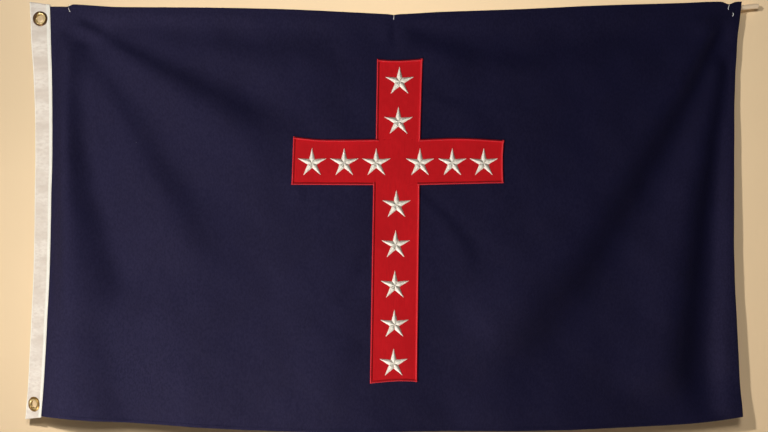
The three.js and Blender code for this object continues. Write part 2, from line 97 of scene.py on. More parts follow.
# seam_x: where heading and field meet. edge_x: the heading's free edge. curl: how steeply the heading turns
# back. drop: how much lower its free edge lies.
HOIST = table(
    "z seam_x edge_x curl drop",
    (6, -748.8, -792.3, 0, -6),
    (-62, -747.2, -789.8, 0, -5),
    (-146, -746, -788.8, 0.155, -4),
    (-232, -745.9, -787.9, 0.245, -3),
    (-318, -746.4, -788.2, 0.275, -2),
    (-404, -748.9, -790.4, 0.3, 0),
    (-490, -750.7, -792, 0.32, 2),
    (-576, -753.4, -794.6, 0.325, 4),
    (-662, -757.9, -799.1, 0.33, 5),
    (-748, -762.5, -803.5, 0.335, 6),
    (-815, -766.8, -807.6, 0.35, 6.7),
    (-883, -772.5, -813.3, 0.355, 7.4),
)
FLY = table(
    "z x",
    (13, 737.2), (-17, 734), (-60, 729.5), (-146, 726.2), (-232, 723.2), (-404, 722),
    (-490, 721.2), (-576, 723.3), (-662, 727.1), (-748, 731.4), (-834, 735.9), (-879, 738.8),
)
TOP_EDGE = table(
    "x z",
    (-748.8, 2.2), (-714, 1.6), (-697.7, 7), (-663, 4.9), (-599, 1.3), (-427, 0.3), (-255, -3),
    (-83, -10.8), (-10, -14), (89, -9.2), (261, -3.2), (433, 4.7), (605, 9.9), (693, 13), (737.2, 13),
)
BOTTOM_EDGE = table(
    "x z",
    (-772.5, -881), (-736, -883), (-637, -890), (-534, -898), (-427, -905), (-320, -911), (-160, -914),
    (14, -913), (180, -912), (347, -909), (480, -905), (605, -898), (684, -889), (738.8, -879),
)
# Where a pin's wire presses the top edge down
EDGE_DIPS = table("x depth width", (-10.5, 1.6, 8), (709.5, 5.6, 10))

HANG_PLANE = -9.3
LEAN_BACK = 0.005
SEAM_ROLL = 15
SEAM_CALM = 26
TOP_CALM = (10, 46)
BOTTOM_SWAY = 4.5
SWAY_LENGTH = 430
SWAY_START = 120
HEADING_WIDTH = 43
HEADING_TOP = 6
HEADING_BOTTOM = -883
FOLD_FADE_IN = 0.06
ROUTE_STEPS = 40
# Unevenness all over: its height, the seed of its directions, and its wave lengths
UNEVEN = [(0.55, 5, (230, 190, 150, 120, 95, 80)), (0.1, 6, (52, 43, 36, 31, 27, 22))]

# Each fold: the points of its path, half-width and depth at its start and end, reach in half-widths, and the
# share of its length after which it dies out. The cloth comes forward on the path's right and goes back on
# its left, as seen when following it.
FOLDS = [
    # hoist_upper
    ([(-696, -19), (-599, -79), (-491, -135), (-394, -186), (-298, -240), (-190, -290)],
     (11, 46), (5, 14), 2.6, 0.66),
    # hoist_middle
    ([(-692, -48), (-634, -146), (-576, -236), (-523, -328), (-468, -414), (-402, -500), (-298, -552)],
     (20, 54), (5, 12), 2.4, 0.62),
    # hoist_steep
    ([(-698, -42), (-697, -199), (-691, -307), (-673, -414), (-647, -511), (-628, -586), (-603, -690)],
     (27, 50), (11, 19), 2.3, 0.84),
    # hoist_low
    ([(-714, -150), (-710, -300), (-700, -450), (-678, -608), (-652, -737), (-620, -900), (-600, -1000)],
     (22, 72), (2, 19), 2.2, 0.9),
    # swag_left
    ([(-640, -36), (-502, -58), (-384, -80), (-287, -90), (-169, -88), (-61, -66)],
     (28, 34), (4, 4), 2.2, 0.62),
    # swag_right
    ([(-2, -38), (46, -62), (140, -94), (240, -113), (336, -106), (433, -84), (541, -60), (660, -36)],
     (25, 30), (5, 4), 2.2, 0.5),
    # fly_long
    ([(701, -14), (659, -103), (616, -189), (562, -285), (508, -382), (448, -479), (380, -586), (308, -672),
      (240, -741), (150, -800)], (15, 60), (13, 25), 2.6, 0.8),
    # fly_steep
    ([(703, -90), (695, -160), (681, -253), (664, -360), (649, -468), (638, -576), (627, -683), (615, -800),
      (604, -870)], (12, 46), (7, 24), 2.5, 0.88),
]

# Lesser creases, which only the looks have
CREASES = [
    # under the centre pin
    ([(-14, -30), (-16, -62), (-18, -100)], (8, 10), (2.2, 1.2), 2.2, 0.5),
    # down to the right from under the right arm
    ([(40, -385), (57, -408), (100, -447), (136, -490), (158, -533), (150, -620)],
     (10, 16), (1.6, 2.4), 2.2, 0.5),
    # below the left arm
    ([(-206, -386), (-207, -410), (-212, -452)], (9, 9), (1.4, 1), 2.2, 0.4),
    # beside the upright, low on the left
    ([(-66, -505), (-84, -545), (-104, -586), (-140, -620), (-185, -655)], (15, 20), (2, 1.5), 2.2, 0.5),
    # above the right arm
    ([(70, -190), (143, -208), (225, -208)], (9, 9), (1, 1), 2.2, 0.5),
    # between the two long folds of the hoist
    ([(-523, -554), (-480, -608), (-444, -640)], (18, 22), (1.8, 1.8), 2.2, 0.5),
    # the fly's edge, turned a little forward
    ([(690, -900), (688, -750), (690, -600), (695, -450), (700, -300), (708, -150)],
     (28, 18), (8, 4), 2.2, 0.8),
    # left of the foot
    ([(-98, -700), (-104, -760), (-118, -850)], (30, 34), (2, 2), 2.2, 0.5),
]

# The cross's corners, clockwise from the top left as the face shows it
CROSS_CORNERS = {
    "top_left": (-46, -111.4),
    "top_right": (51.4, -110.7),
    "upper_right": (46.6, -283),
    "right_top": (226.6, -285),
    "right_bottom": (225, -376.5),
    "lower_right": (45.4, -380.6),
    "foot_right": (40, -804.4),
    "foot_left": (-61.3, -807),
    "lower_left": (-54.4, -381),
    "left_bottom": (-230, -380),
    "left_top": (-226, -277.6),
    "upper_left": (-48.8, -283),
}
NEXT_CORNER = dict(zip(CROSS_CORNERS, [*CROSS_CORNERS][1:] + [*CROSS_CORNERS][:1]))
INNER_CORNERS = ("upper_right", "lower_right", "lower_left", "upper_left")
# How far the edge after a corner bows inward, and the share of its length at which it does so most
CROSS_BOWS = {
    "top_left": (2.4, 0.42),
    "upper_right": (-3.6, 0.45),
    "right_top": (1.7, 0.4),
    "foot_right": (2.6, 0.42),
    "left_top": (3.9, 0.35),
}
STRAIGHT = (0, 0.5)

# The middles of the stars: down the upright, then along the arms
STARS = [
    (1.9, -159), (-0.4, -245), (-4.7, -424), (-6.5, -510), (-8.2, -597), (-9, -681), (-10.8, -765),
    (-186, -334), (-117, -334), (-48, -334), (46, -334), (115.5, -334), (183, -334),
]
STAR_RADIUS = 31.5
# How far out a star's inner corners lie, as a share of its radius
STAR_WAIST = 0.345


# ---- curves and reliefs


def mix(start, end, share):
    return start + (end - start) * share


def unit(vector):
    return vector / np.linalg.norm(vector, axis=-1, keepdims=True)


def square_to(vector, axis):
    """The direction nearest to a vector that is square to an axis."""
    return unit(vector - axis * (vector @ axis))


def ramp(start, end, value):
    """0 before start, 1 after end, smooth between."""
    share = np.clip((value - start) / (end - start), 0, 1)
    return share * share * (3 - 2 * share)


def hermite(value, rise, start, end, t):
    """A cubic that rises from a value, with these slopes at its start and end."""
    return value + start * t + (3 * rise - 2 * start - end) * t**2 + (start + end - 2 * rise) * t**3


def along(rows, by, key, at):
    """A smooth curve through a table's rows that never overshoots them."""
    places, values = rows[by], rows[key]
    if places[0] > places[-1]:
        places, values = places[::-1], values[::-1]
    steps = np.diff(places)
    slopes = np.diff(values) / steps
    before, after = slopes[:-1], slopes[1:]
    rising = before * after > 0
    inner = np.where(rising, 2 * before * after / np.where(rising, before + after, 1), 0)
    tangents = np.concatenate([slopes[:1], inner, slopes[-1:]])
    at = np.clip(at, places[0], places[-1])
    i = np.clip(np.searchsorted(places, at, side="right") - 1, 0, len(steps) - 1)
    t = (at - places[i]) / steps[i]
    start, end = tangents[i] * steps[i], tangents[i + 1] * steps[i]
    return hermite(values[i], values[i + 1] - values[i], start, end, t)


def lengths_along(points):
    return np.concatenate([[0], np.cumsum(np.linalg.norm(np.diff(points, axis=0), axis=1))])


def sampled(points, lengths, at):
    """Places at these lengths along a line of points."""
    return np.stack([np.interp(at, lengths, column) for column in points.T], axis=-1)


CURVE_STEPS = 40


def smooth_route(points, count):
    """Evenly spaced points on a centripetal Catmull-Rom curve through the given ones."""
    points = np.array(points, float)
    points = np.vstack([2 * points[0] - points[1], points, 2 * points[-1] - points[-2]])
    shares = np.linspace(0, 1, CURVE_STEPS, endpoint=False)[:, None]
    fine = []
    for p0, p1, p2, p3 in zip(points, points[1:], points[2:], points[3:]):
        d0, d1, d2 = (math.sqrt(np.linalg.norm(b - a)) for a, b in ((p0, p1), (p1, p2), (p2, p3)))
        start = ((p1 - p0) / d0 - (p2 - p0) / (d0 + d1) + (p2 - p1) / d1) * d1
        end = ((p2 - p1) / d1 - (p3 - p1) / (d1 + d2) + (p3 - p2) / d2) * d1
        fine.append(hermite(p1, p2 - p1, start, end, shares))
    fine = np.vstack([*fine, points[-2:-1]])
    lengths = lengths_along(fine)
    return sampled(fine, lengths, np.linspace(0, lengths[-1], count + 1))


def nearest_on(route, x, z):
    """How far along a route each place is, from 0 to 1, and its distance, positive on the route's left."""
    best = np.full(x.shape, np.inf)
    share = np.zeros(x.shape)
    side = np.ones(x.shape)
    for i, (a, b) in enumerate(zip(route, route[1:])):
        step = b - a
        t = np.clip(((x - a[0]) * step[0] + (z - a[1]) * step[1]) / (step @ step), 0, 1)
        off_x = x - a[0] - step[0] * t
        off_z = z - a[1] - step[1] * t
        distance = np.hypot(off_x, off_z)
        nearer = distance < best
        best = np.where(nearer, distance, best)
        share = np.where(nearer, (i + t) / (len(route) - 1), share)
        side = np.where(nearer, np.where(step[0] * off_z > step[1] * off_x, 1, -1), side)
    return share, side * best


def waves(x, z, seed, lengths):
    """A smooth uneven relief of about unit height: sine waves of these lengths in seeded directions."""
    random = np.random.default_rng(seed)
    total = 0
    for length in lengths:
        turn, phase = random.uniform(0, 2 * math.pi, 2)
        total = total + np.sin(2 * math.pi * (x * math.cos(turn) + z * math.sin(turn)) / length + phase)
    return total / math.sqrt(len(lengths))


# ---- the drape

FOLD_ROUTES = [(smooth_route(path, ROUTE_STEPS), *rest) for path, *rest in FOLDS + CREASES]


def seam_x(z):
    return along(HOIST, "z", "seam_x", z)


def seam_curl(z):
    return along(HOIST, "z", "curl", z)


def hang_depth(z):
    return HANG_PLANE - LEAN_BACK * z


def top_height(x):
    dips = sum(depth * np.exp(-((x - place) / width) ** 2)
               for place, depth, width in zip(*(EDGE_DIPS[key] for key in ("x", "depth", "width"))))
    return along(TOP_EDGE, "x", "z", x) - dips


def bottom_height(x):
    return along(BOTTOM_EDGE, "x", "z", x)


def fly_edge(z):
    return along(FLY, "z", "x", z)


def fold_depth(fold, x, z):
    route, half_widths, depths, reach, fade_from = fold
    share, distance = nearest_on(route, x, z)
    s = distance / mix(*half_widths, share)
    strength = ramp(0, FOLD_FADE_IN, share) * (1 - ramp(fade_from, 1, share))
    return mix(*depths, share) * strength * np.tanh(s) * np.exp(-(s / reach) ** 2)


def field_depth(x, z):
    """Y of the field's middle surface."""
    x, z = np.asarray(x, float), np.asarray(z, float)
    from_seam = np.maximum(0, x - seam_x(z))
    calm = (1 - np.exp(-(from_seam / SEAM_CALM) ** 2)) * ramp(*TOP_CALM, top_height(x) - z)
    relief = BOTTOM_SWAY * ramp(SWAY_START, -HEADING_BOTTOM, -z) * np.sin(2 * math.pi * x / SWAY_LENGTH)
    for fold in FOLD_ROUTES:
        relief = relief + fold_depth(fold, x, z)
    for height, seed, lengths in UNEVEN:
        relief = relief + height * waves(x, z, seed, lengths)
    roll = seam_curl(z) * SEAM_ROLL * np.exp(-from_seam / SEAM_ROLL)
    return hang_depth(z) + roll + relief * calm


def heading_point(z, inward):
    """A place on the heading's middle surface: z at the seam, inward from the seam to the free edge."""
    share = inward / HEADING_WIDTH
    run = seam_x(z) - along(HOIST, "z", "edge_x", z)
    return np.stack(np.broadcast_arrays(
        seam_x(z) - run * share,
        hang_depth(z) + seam_curl(z) * (SEAM_ROLL + run * share),
        z - along(HOIST, "z", "drop", z) * share,
    ), axis=-1)


def field_place(u, v):
    """x and z of a place on the field: u from the seam to the fly, v from the top edge to the bottom edge."""
    seam = seam_x(mix(TOP_EDGE["z"][0], BOTTOM_EDGE["z"][0], v))
    fly = fly_edge(mix(TOP_EDGE["z"][-1], BOTTOM_EDGE["z"][-1], v))
    top = top_height(mix(TOP_EDGE["x"][0], TOP_EDGE["x"][-1], u))
    bottom = bottom_height(mix(BOTTOM_EDGE["x"][0], BOTTOM_EDGE["x"][-1], u))
    return mix(seam, fly, u), mix(top, bottom, v)


# ---- meshes


def mesh_of(name, part, material=None):
    """A smooth mesh from a part: its points, in millimetres, and its arrays of faces."""
    points, faces = part
    mesh = bpy.data.meshes.new(name)
    mesh.from_pydata(points * MM, [], [face for group in faces for face in group.tolist()])
    mesh.shade_smooth()
    mesh.validate()
    mesh.materials.append(material)
    return mesh


def placed(name, data):
    """A new object in the scene."""
    made = bpy.data.objects.new(name, data)
    bpy.context.scene.collection.objects.link(made)
    return made


def make_piece(name, part, material, replaced=None):
    """An object that rides on the flag."""
    made = placed(name, mesh_of(name, part, material))
    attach(made, "root")
    if replaced:
        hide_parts(replaced)
    return made


def cut(piece, part):
    """Takes a part's solid out of a piece."""
    cutter = placed("cutter", mesh_of("cutter", part))
    modifier = piece.modifiers.new("cut", "BOOLEAN")
    modifier.operation = "DIFFERENCE"
    modifier.solver = "EXACT"
    modifier.object = cutter
    depsgraph = bpy.context.evaluated_depsgraph_get()
    shaped = bpy.data.meshes.new_from_object(piece.evaluated_get(depsgraph))
    piece.modifiers.clear()
    piece.data = shaped
    bpy.data.objects.remove(cutter)


def joined(parts):
    """Several parts as one."""
    points, faces, start = [], [], 0
    for part_points, part_faces in parts:
        points.append(part_points)
        faces += [group + start for group in part_faces]
        start += len(part_points)
    return np.concatenate(points), faces


def grid_faces(rows, columns, wrap=False):
    """Quads over a grid of points. They face -Y where the rows run down and the columns to the right."""
    across = np.arange(columns if wrap else columns - 1)[None, :]
    first = np.arange(rows - 1)[:, None] * columns
    right = (across + 1) % columns
    corners = (first + across, first + columns + across, first + columns + right, first + right)
    return np.stack([corner.ravel() for corner in corners], axis=1)


def thickened(front, back, faces):
    """A closed sheet between a front and a back that share these faces."""
    count = len(front)
    starts, ends = faces.ravel(), np.roll(faces, -1, axis=1).ravel()
    lone = ~np.isin(starts * count + ends, ends * count + starts)
    start, end = starts[lone], ends[lone]
    walls = np.stack([end, start, start + count, end + count], axis=1)
    return np.concatenate([front, back]), [faces, faces[:, ::-1] + count, walls]


def ring_part(rings, way):
    """A closed part from rings of points. The way, 1 or -1, says which side of its faces is out."""
    rows, size, _ = rings.shape
    ring = np.arange(size)[None]
    faces = (grid_faces(rows, size, wrap=True), ring, ring[:, ::-1] + (rows - 1) * size)
    return rings.reshape(-1, 3), [group[:, ::way] for group in faces]


def strands(lines, width, height, up):
    """Closed diamond-section threads along lines of points."""
    count, stations, _ = lines.shape
    side = unit(np.cross(lines[:, -1:] - lines[:, :1], up)) * (width / 2)
    lift = np.array(up) * (height / 2)
    points = np.stack([lines - side, lines + lift, lines + side, lines - lift], axis=2)
    index = np.arange(count * stations * 4).reshape(count, stations, 4)
    after = np.roll(index, -1, axis=2)
    walls = np.stack([index[:, :-1], after[:, :-1], after[:, 1:], index[:, 1:]], axis=-1)
    caps = np.concatenate([index[:, 0, ::-1], index[:, -1]])
    return points.reshape(-1, 3), [walls.reshape(-1, 4), caps]


def tube(line, radius, sides):
    """A closed round tube along a line of points."""
    tangents = unit(np.gradient(line, axis=0))
    turns = np.linspace(0, 2 * math.pi, sides, endpoint=False)[:, None]
    across = np.array([1.0, 0, 0]) if abs(tangents[0][0]) < 0.8 else np.array([0, 0, 1.0])
    rings = []
    for place, tangent, reach in zip(line, tangents, np.broadcast_to(radius, len(line))):
        across = square_to(across, tangent)
        rings.append(place + reach * (np.cos(turns) * across + np.sin(turns) * np.cross(tangent, across)))
    hub = len(line) * sides
    ring = np.arange(sides)
    after = (ring + 1) % sides
    last = hub - sides
    start_cap = np.stack([after, ring, np.full(sides, hub)], axis=1)
    end_cap = np.stack([ring + last, after + last, np.full(sides, hub + 1)], axis=1)
    points = np.concatenate([*rings, line[:1], line[-1:]])
    return points, [grid_faces(len(line), sides, wrap=True)[:, ::-1], start_cap, end_cap]


# How much longer each step is for each millimetre of distance
SPREADING = 0.16


def graded(length, coarse, fine, places):
    """Stations from 0 to length, close together at these places and further apart away from them."""
    stations = [0.0]
    while stations[-1] < length:
        nearest = min(abs(stations[-1] - place) for place in places)
        stations.append(stations[-1] + min(coarse, fine + SPREADING * nearest))
    return np.array(stations) * length / stations[-1]


# ---- materials


class Nodes:
    """A tree whose nodes are added one by one, with inputs that are values or sockets."""

    def __init__(self, tree):
        self.tree = tree

    def feed(self, node, inputs):
        for key, value in inputs.items():
            socket = node.inputs[key.replace("_", " ") if isinstance(key, str) else key]
            if isinstance(value, bpy.types.NodeSocket):
                self.tree.links.new(value, socket)
            else:
                socket.default_value = value

    def add(self, kind, inputs=None, **settings):
        node = self.tree.nodes.new("ShaderNode" + kind)
        for key, value in settings.items():
            setattr(node, key, value)
        self.feed(node, inputs or {})
        return node

    def math(self, operation, first, second=0.0, third=0.0):
        return self.add("Math", {0: first, 1: second, 2: third}, operation=operation).outputs[0]

    def between(self, value, low, high, low_out=0.0, high_out=1.0):
        """A value brought from one range to another, held at its ends."""
        inputs = {0: value, 1: low, 2: high, 3: low_out, 4: high_out}
        return self.add("MapRange", inputs, interpolation_type="SMOOTHSTEP").outputs[0]

    def blend(self, share, first, second, how="MIX"):
        """Two colours mixed by a share."""
        colours = [(*colour, 1) if isinstance(colour, tuple) else colour for colour in (first, second)]
        inputs = {0: share, 6: colours[0], 7: colours[1]}
        return self.add("Mix", inputs, data_type="RGBA", blend_type=how).outputs[2]


class Surface(Nodes):
    """A Principled material."""

    def __init__(self, name, **inputs):
        self.material = bpy.data.materials.new(name)
        self.material.use_nodes = True
        super().__init__(self.material.node_tree)
        self.shader = self.tree.nodes["Principled BSDF"]
        self.feed(self.shader, inputs)
        self.place = self.add("TexCoord").outputs["Object"]
        self.axes = self.add("SeparateXYZ", {"Vector": self.place}).outputs

    def noise(self, scale, detail, stretch=(1, 1, 1)):
        """Noise from 0 to 1, with `scale` features in a metre."""
        spread = self.add("Mapping", {"Vector": self.place, "Scale": stretch}).outputs[0]
        return self.add("TexNoise", {"Vector": spread, "Scale": scale, "Detail": detail}).outputs["Fac"]

    def patches(self, scale, detail, low, high, stretch=(1, 1, 1)):
        """Soft patches from 0 to 1, where the noise lies between low and high."""
        return self.between(self.noise(scale, detail, stretch), low, high)

    def weave(self, pitch_x, pitch_z):
        """Over-and-under threads in the plane of the cloth, from -1 to 1."""
        warp, weft = (self.math("SINE", self.math("MULTIPLY", self.axes[axis], 2 * math.pi / (pitch * MM)))
                      for axis, pitch in ((0, pitch_x), (2, pitch_z)))
        return self.math("MULTIPLY", warp, weft)

    def finish(self, colour, *layers, **inputs):
        """Sets the colour, bump from layers of height (0 to 1) and size (millimetres), and other inputs."""
        self.feed(self.shader, {"Base Color": colour, **inputs})
        normal = {}
        for height, size in layers:
            bump = {"Height": height, "Distance": size * MM, "Strength": 1.0, **normal}
            normal = {"Normal": self.add("Bump", bump).outputs[0]}
        self.feed(self.shader, normal)
        return self.material


def scaled(colour, share):
    return tuple(min(1, c * share) for c in colour)


NAVY = (0.0021, 0.0024, 0.0128)
NAVY_TINT = (0.555, 0.48, 1.0, 1)
NAVY_ROUGHNESS = 0.64
NAVY_GLOSS = 0.6
# Painted sheen: strips where the cloth's gloss is raised so that it looks brighter: along an axis from one
# place to another, from one height down to another, and by what share
NAVY_PAINTED_SHEEN = [
    (2, -0.085, -0.03, -1, -0.95, 0.2),
    (0, -0.68, -0.755, -0.12, -0.5, 0.28),
    (0, 0.665, 0.715, -0.05, -0.4, 0.28),
]
LINT = (0.16, 0.15, 0.17)
LINT_SHARE = 0.1
RED = (0.505, 0.0070, 0.0120)
RED_THREAD = (0.62, 0.012, 0.022)
WHITE_THREAD = (0.88, 0.85, 0.76)
# The wall's colour behind the flag's top and its foot, with painted light: darker at the top and at the left,
# lighter towards the bottom and the right
WALL_LEFT_PAINTED_LIGHT = ((0.49, 0.38, 0.25), (0.95, 0.73, 0.475))
WALL_RIGHT_PAINTED_LIGHT = ((0.77, 0.59, 0.375), (0.99, 0.75, 0.475))


def navy_cloth(name, light):
    s = Surface(name, Roughness=NAVY_ROUGHNESS, Specular_Tint=NAVY_TINT)
    gloss = s.between(s.noise(300, 3, (1, 1, 0.6)), 0.3, 0.7, NAVY_GLOSS * 0.84, NAVY_GLOSS * 1.16)
    # Painted sheen: gloss raised along the top edge, the hoist and the fly
    for axis, start, end, high, low, gain in NAVY_PAINTED_SHEEN:
        here = s.math("MULTIPLY", s.between(s.axes[axis], start, end), s.between(s.axes[2], high, low))
        gloss = s.math("MULTIPLY", gloss, s.math("MULTIPLY_ADD", here, gain, 1))
    colour = s.blend(s.patches(9, 4, 0.35, 0.65), scaled(NAVY, light * 0.86), scaled(NAVY, light * 1.14))
    slubs = s.patches(700, 2, 0.3, 0.8, (1, 1, 0.08))
    colour = s.blend(slubs, colour, scaled(NAVY, light * 1.25))
    spot = s.add("TexVoronoi", {"Vector": s.place, "Scale": 16.0})
    chance = s.add("SeparateColor", {0: spot.outputs["Color"]}).outputs[0]
    chosen = s.math("GREATER_THAN", chance, 1 - LINT_SHARE)
    lint = s.math("MULTIPLY", s.between(spot.outputs["Distance"], 0.02, 0.008), chosen)
    colour = s.blend(lint, colour, LINT)
    return s.finish(colour, (s.weave(0.62, 0.5), 0.045), (s.noise(160, 3), 0.09), Specular_IOR_Level=gloss)


def red_cloth():
    s = Surface("red_cloth", Roughness=0.75, Specular_IOR_Level=0.2, Specular_Tint=(1, 0.75, 0.75, 1))
    colour = s.blend(s.patches(14, 4, 0.3, 0.7), scaled(RED, 0.93), scaled(RED, 1.05))
    slubs = s.patches(520, 2, 0.35, 0.85, (1, 1, 0.1))
    colour = s.blend(slubs, colour, scaled(RED, 0.88))
    return s.finish(colour, (s.weave(0.6, 0.55), 0.05), (s.noise(110, 3), 0.16))


def thread(name, colour, roughness, gloss, tint):
    """Embroidery thread: a soft satin with a little change of tone from strand to strand."""
    s = Surface(name, Roughness=roughness, Specular_IOR_Level=gloss, Specular_Tint=(*tint, 1))
    tone = s.blend(s.patches(900, 2, 0.3, 0.7), scaled(colour, 0.9), scaled(colour, 1.05))
    return s.finish(tone, (s.noise(2400, 2), 0.05))


def canvas_cloth(name, pale, stained):
    """Cotton canvas, with painted shade that makes it darker at the top."""
    s = Surface(name, Roughness=0.85, Specular_IOR_Level=0.15)
    colour = s.blend(s.patches(30, 4, 0.3, 0.75, (0.35, 1, 1)), pale, stained)
    strips = s.math("MULTIPLY", s.patches(220, 3, 0.35, 0.75, (0.4, 1, 1)), 0.7)
    colour = s.blend(strips, colour, stained)
    # Painted shade: the colour is darker towards the top
    colour = s.blend(s.between(s.axes[2], -0.16, 0.03), colour, (0.89, 0.89, 0.89), "MULTIPLY")
    return s.finish(colour, (s.weave(1.3, 0.95), 0.12), (s.noise(150, 3, (0.3, 1, 1)), 0.5))


def brass(name, bright, dull):
    s = Surface(name, Metallic=0.6)
    tarnish = s.patches(160, 4, 0.42, 0.72)
    roughness = s.between(tarnish, 0, 1, 0.3, 0.5)
    return s.finish(s.blend(tarnish, bright, dull), (s.noise(900, 2), 0.02), Roughness=roughness)


def wood():
    s = Surface("wood", Roughness=0.62, Specular_IOR_Level=0.3)
    rings = s.noise(260, 3, (0.02, 1, 1))
    colour = s.blend(s.between(rings, 0.3, 0.7), (0.92, 0.76, 0.56), (0.74, 0.57, 0.39))
    return s.finish(colour, (rings, 0.12))


def steel():
    s = Surface("steel", Metallic=0.35)
    wear = s.patches(700, 3, 0.35, 0.7)
    colour = s.blend(wear, (0.90, 0.90, 0.91), (0.72, 0.72, 0.73))
    return s.finish(colour, Roughness=s.between(wear, 0, 1, 0.36, 0.5))


def plaster():
    """The wall. It lets shadow rays through, and camera rays that come from behind it."""
    s = Surface("plaster", Roughness=0.9, Specular_IOR_Level=0.1)
    across = s.between(s.axes[0], -0.8, 0.8)
    down = s.between(s.axes[2], 0, -0.92)
    # Painted light: the wall's colour grows lighter towards the bottom and the right
    colour = s.blend(across, s.blend(down, *WALL_LEFT_PAINTED_LIGHT), s.blend(down, *WALL_RIGHT_PAINTED_LIGHT))
    mottle = s.math("MULTIPLY", s.patches(3.5, 4, 0.3, 0.7), 0.03)
    s.finish(s.blend(mottle, colour, (0, 0, 0)), (s.noise(60, 4), 0.35))
    path = s.add("LightPath").outputs
    behind = s.math("MULTIPLY", s.add("NewGeometry").outputs["Backfacing"], path["Is Camera Ray"])
    gone = s.math("MAXIMUM", behind, path["Is Shadow Ray"])
    clear = s.add("BsdfTransparent").outputs[0]
    mixed = s.add("MixShader", {0: gone, 1: s.shader.outputs[0], 2: clear})
    s.feed(s.tree.nodes["Material Output"], {"Surface": mixed.outputs[0]})
    return s.material


def floor_paint():
    s = Surface("floor_paint", Roughness=0.8, Specular_IOR_Level=0.2)
    return s.finish(s.blend(s.patches(2.5, 3, 0.3, 0.7), (0.80, 0.76, 0.70), (0.76, 0.72, 0.66)))


navy = navy_cloth("navy_cloth", 1)
navy_thread = navy_cloth("navy_thread", 1.5)
red = red_cloth()
red_satin = thread("red_thread", RED_THREAD, 0.38, 0.8, (1, 0.6, 0.6))
white_satin = thread("white_thread", WHITE_THREAD, 0.34, 1.0, (1, 1, 1))
canvas = canvas_cloth("canvas", (0.875, 0.81, 0.735), (0.69, 0.605, 0.53))
seam_tape = canvas_cloth("seam_tape", (0.95, 0.93, 0.85), (0.90, 0.87, 0.79))
tape_thread = thread("tape_thread", (0.78, 0.75, 0.68), 0.6, 0.3, (1, 1, 1))
brass_metal = brass("brass", (0.80, 0.62, 0.30), (0.42, 0.28, 0.10))
# The grommets' rims: tarnish, and a painted dark reflection that also lies in a crescent over the lip
rim_tarnish_painted_reflection = {
    "grommet_top": brass("tarnished_brass_painted_reflection", (0.15, 0.075, 0.025), (0.07, 0.03, 0.012)),
    "grommet_bottom": brass("dull_brass_painted_reflection", (0.33, 0.19, 0.05), (0.18, 0.10, 0.03)),
}
dowel_wood = wood()
pin_steel = steel()


# ---- the field

# The mesh's step in the open and at the pins and edges
FIELD_STEP = 7.4
FIELD_FINE = 2.4
FIELD_SIZE = (1486, 903)
PIN_PLACES = (-708.5, -10.5, 709.5)
HEM = {"top": 9.5, "bottom": 8, "fly": 12}
# The field's edge inside the heading: how far inward from the seam, and how far its faces stand out
SLOT_INSETS = (9.4, 5)
SLOT_STANDING = 0.45
# Across a hem of width 1: how far the front and the back stand from the middle surface
HEM_SECTION = table(
    "inset front back",
    (0, 0.12, 0.12), (0.04, 0.45, 0.7), (0.12, 0.6, 1.1), (0.3, 0.64, 1.25), (0.8, 0.6, 1.2),
    (0.88, 0.55, 1.1), (0.93, 0.28, 0.6), (0.98, 0.5, 1.0), (1.04, 0.5, 0.95), (1.12, 0.45, 0.45),
    (1.3, 0.45, 0.45),
)


def field_thickness(x, z):
    """How far the field's front and back stand from its middle surface."""
    inset = np.minimum((top_height(x) - z) / HEM["top"], (z - bottom_height(x)) / HEM["bottom"])
    inset = np.minimum(inset, (fly_edge(z) - x) / HEM["fly"])
    return (np.interp(inset, HEM_SECTION["inset"], HEM_SECTION[side]) for side in ("front", "back"))


def make_field():
    width, height = FIELD_SIZE
    hem_rows = HEM_SECTION["inset"]
    stops = [place - TOP_EDGE["x"][0] for place in PIN_PLACES]
    across = graded(width, FIELD_STEP, FIELD_FINE, [0, *stops, width])
    fly_stations = width - hem_rows[::-1] * HEM["fly"]
    across = np.concatenate([across[across < fly_stations[0] - 1], fly_stations]) / width
    down = graded(height, FIELD_STEP, FIELD_FINE, [0, height])
    top, bottom = hem_rows * HEM["top"], height - hem_rows[::-1] * HEM["bottom"]
    down = np.concatenate([top, down[(down > top[-1] + 1) & (down < bottom[0] - 1)], bottom]) / height
    x, z = field_place(across[None, :], down[:, None])
    slot = np.stack([heading_point(z[:, 0], inset) for inset in SLOT_INSETS], axis=1)
    middle = np.concatenate([slot, np.stack([x, field_depth(x, z), z], axis=-1)], axis=1)
    rows, columns, _ = middle.shape
    flat = np.full((rows, len(SLOT_INSETS)), SLOT_STANDING)
    faces = []
    for side, standing in zip((-1, 1), field_thickness(x, z)):
        face = middle.copy()
        face[..., 1] += side * np.concatenate([flat, standing], axis=1)
        faces.append(face.reshape(-1, 3))
    part = thickened(*faces, grid_faces(rows, columns))
    return make_piece("navy_field", part, navy, "field")


STITCH_PITCH = 3.2
STITCH_LENGTH = 2.6
STITCH_THICKNESS = 0.42
STITCH_ARCH = 0.18
# The hem's seam: how far in it runs as a share of the hem, and where it starts and ends
HEM_SEAM = 0.93
HEM_SEAM_X = (-742.0, 731)
HEM_SEAM_Z = (1.0, -876)
SEAM_STANDING = {-1: 0.5, 1: 0.9}
SEAM_STEP = 3


def stitch_places(row):
    """Three places along each machine stitch of a row of places."""
    lengths = lengths_along(row)
    starts = np.arange(0, lengths[-1] - STITCH_LENGTH, STITCH_PITCH)
    return sampled(row, lengths, starts[:, None] + np.array([0, 0.5, 1]) * STITCH_LENGTH)


def stitches(x, y, z, side, standing):
    """Machine stitches on the front (-1) or the back (1) of a cloth whose middle surface has these places."""
    arch = np.array([-STITCH_ARCH, STITCH_ARCH, -STITCH_ARCH])
    line = np.stack([x, y + side * (standing + arch), z], axis=-1)
    return strands(line, STITCH_THICKNESS, STITCH_THICKNESS, (0, side, 0))


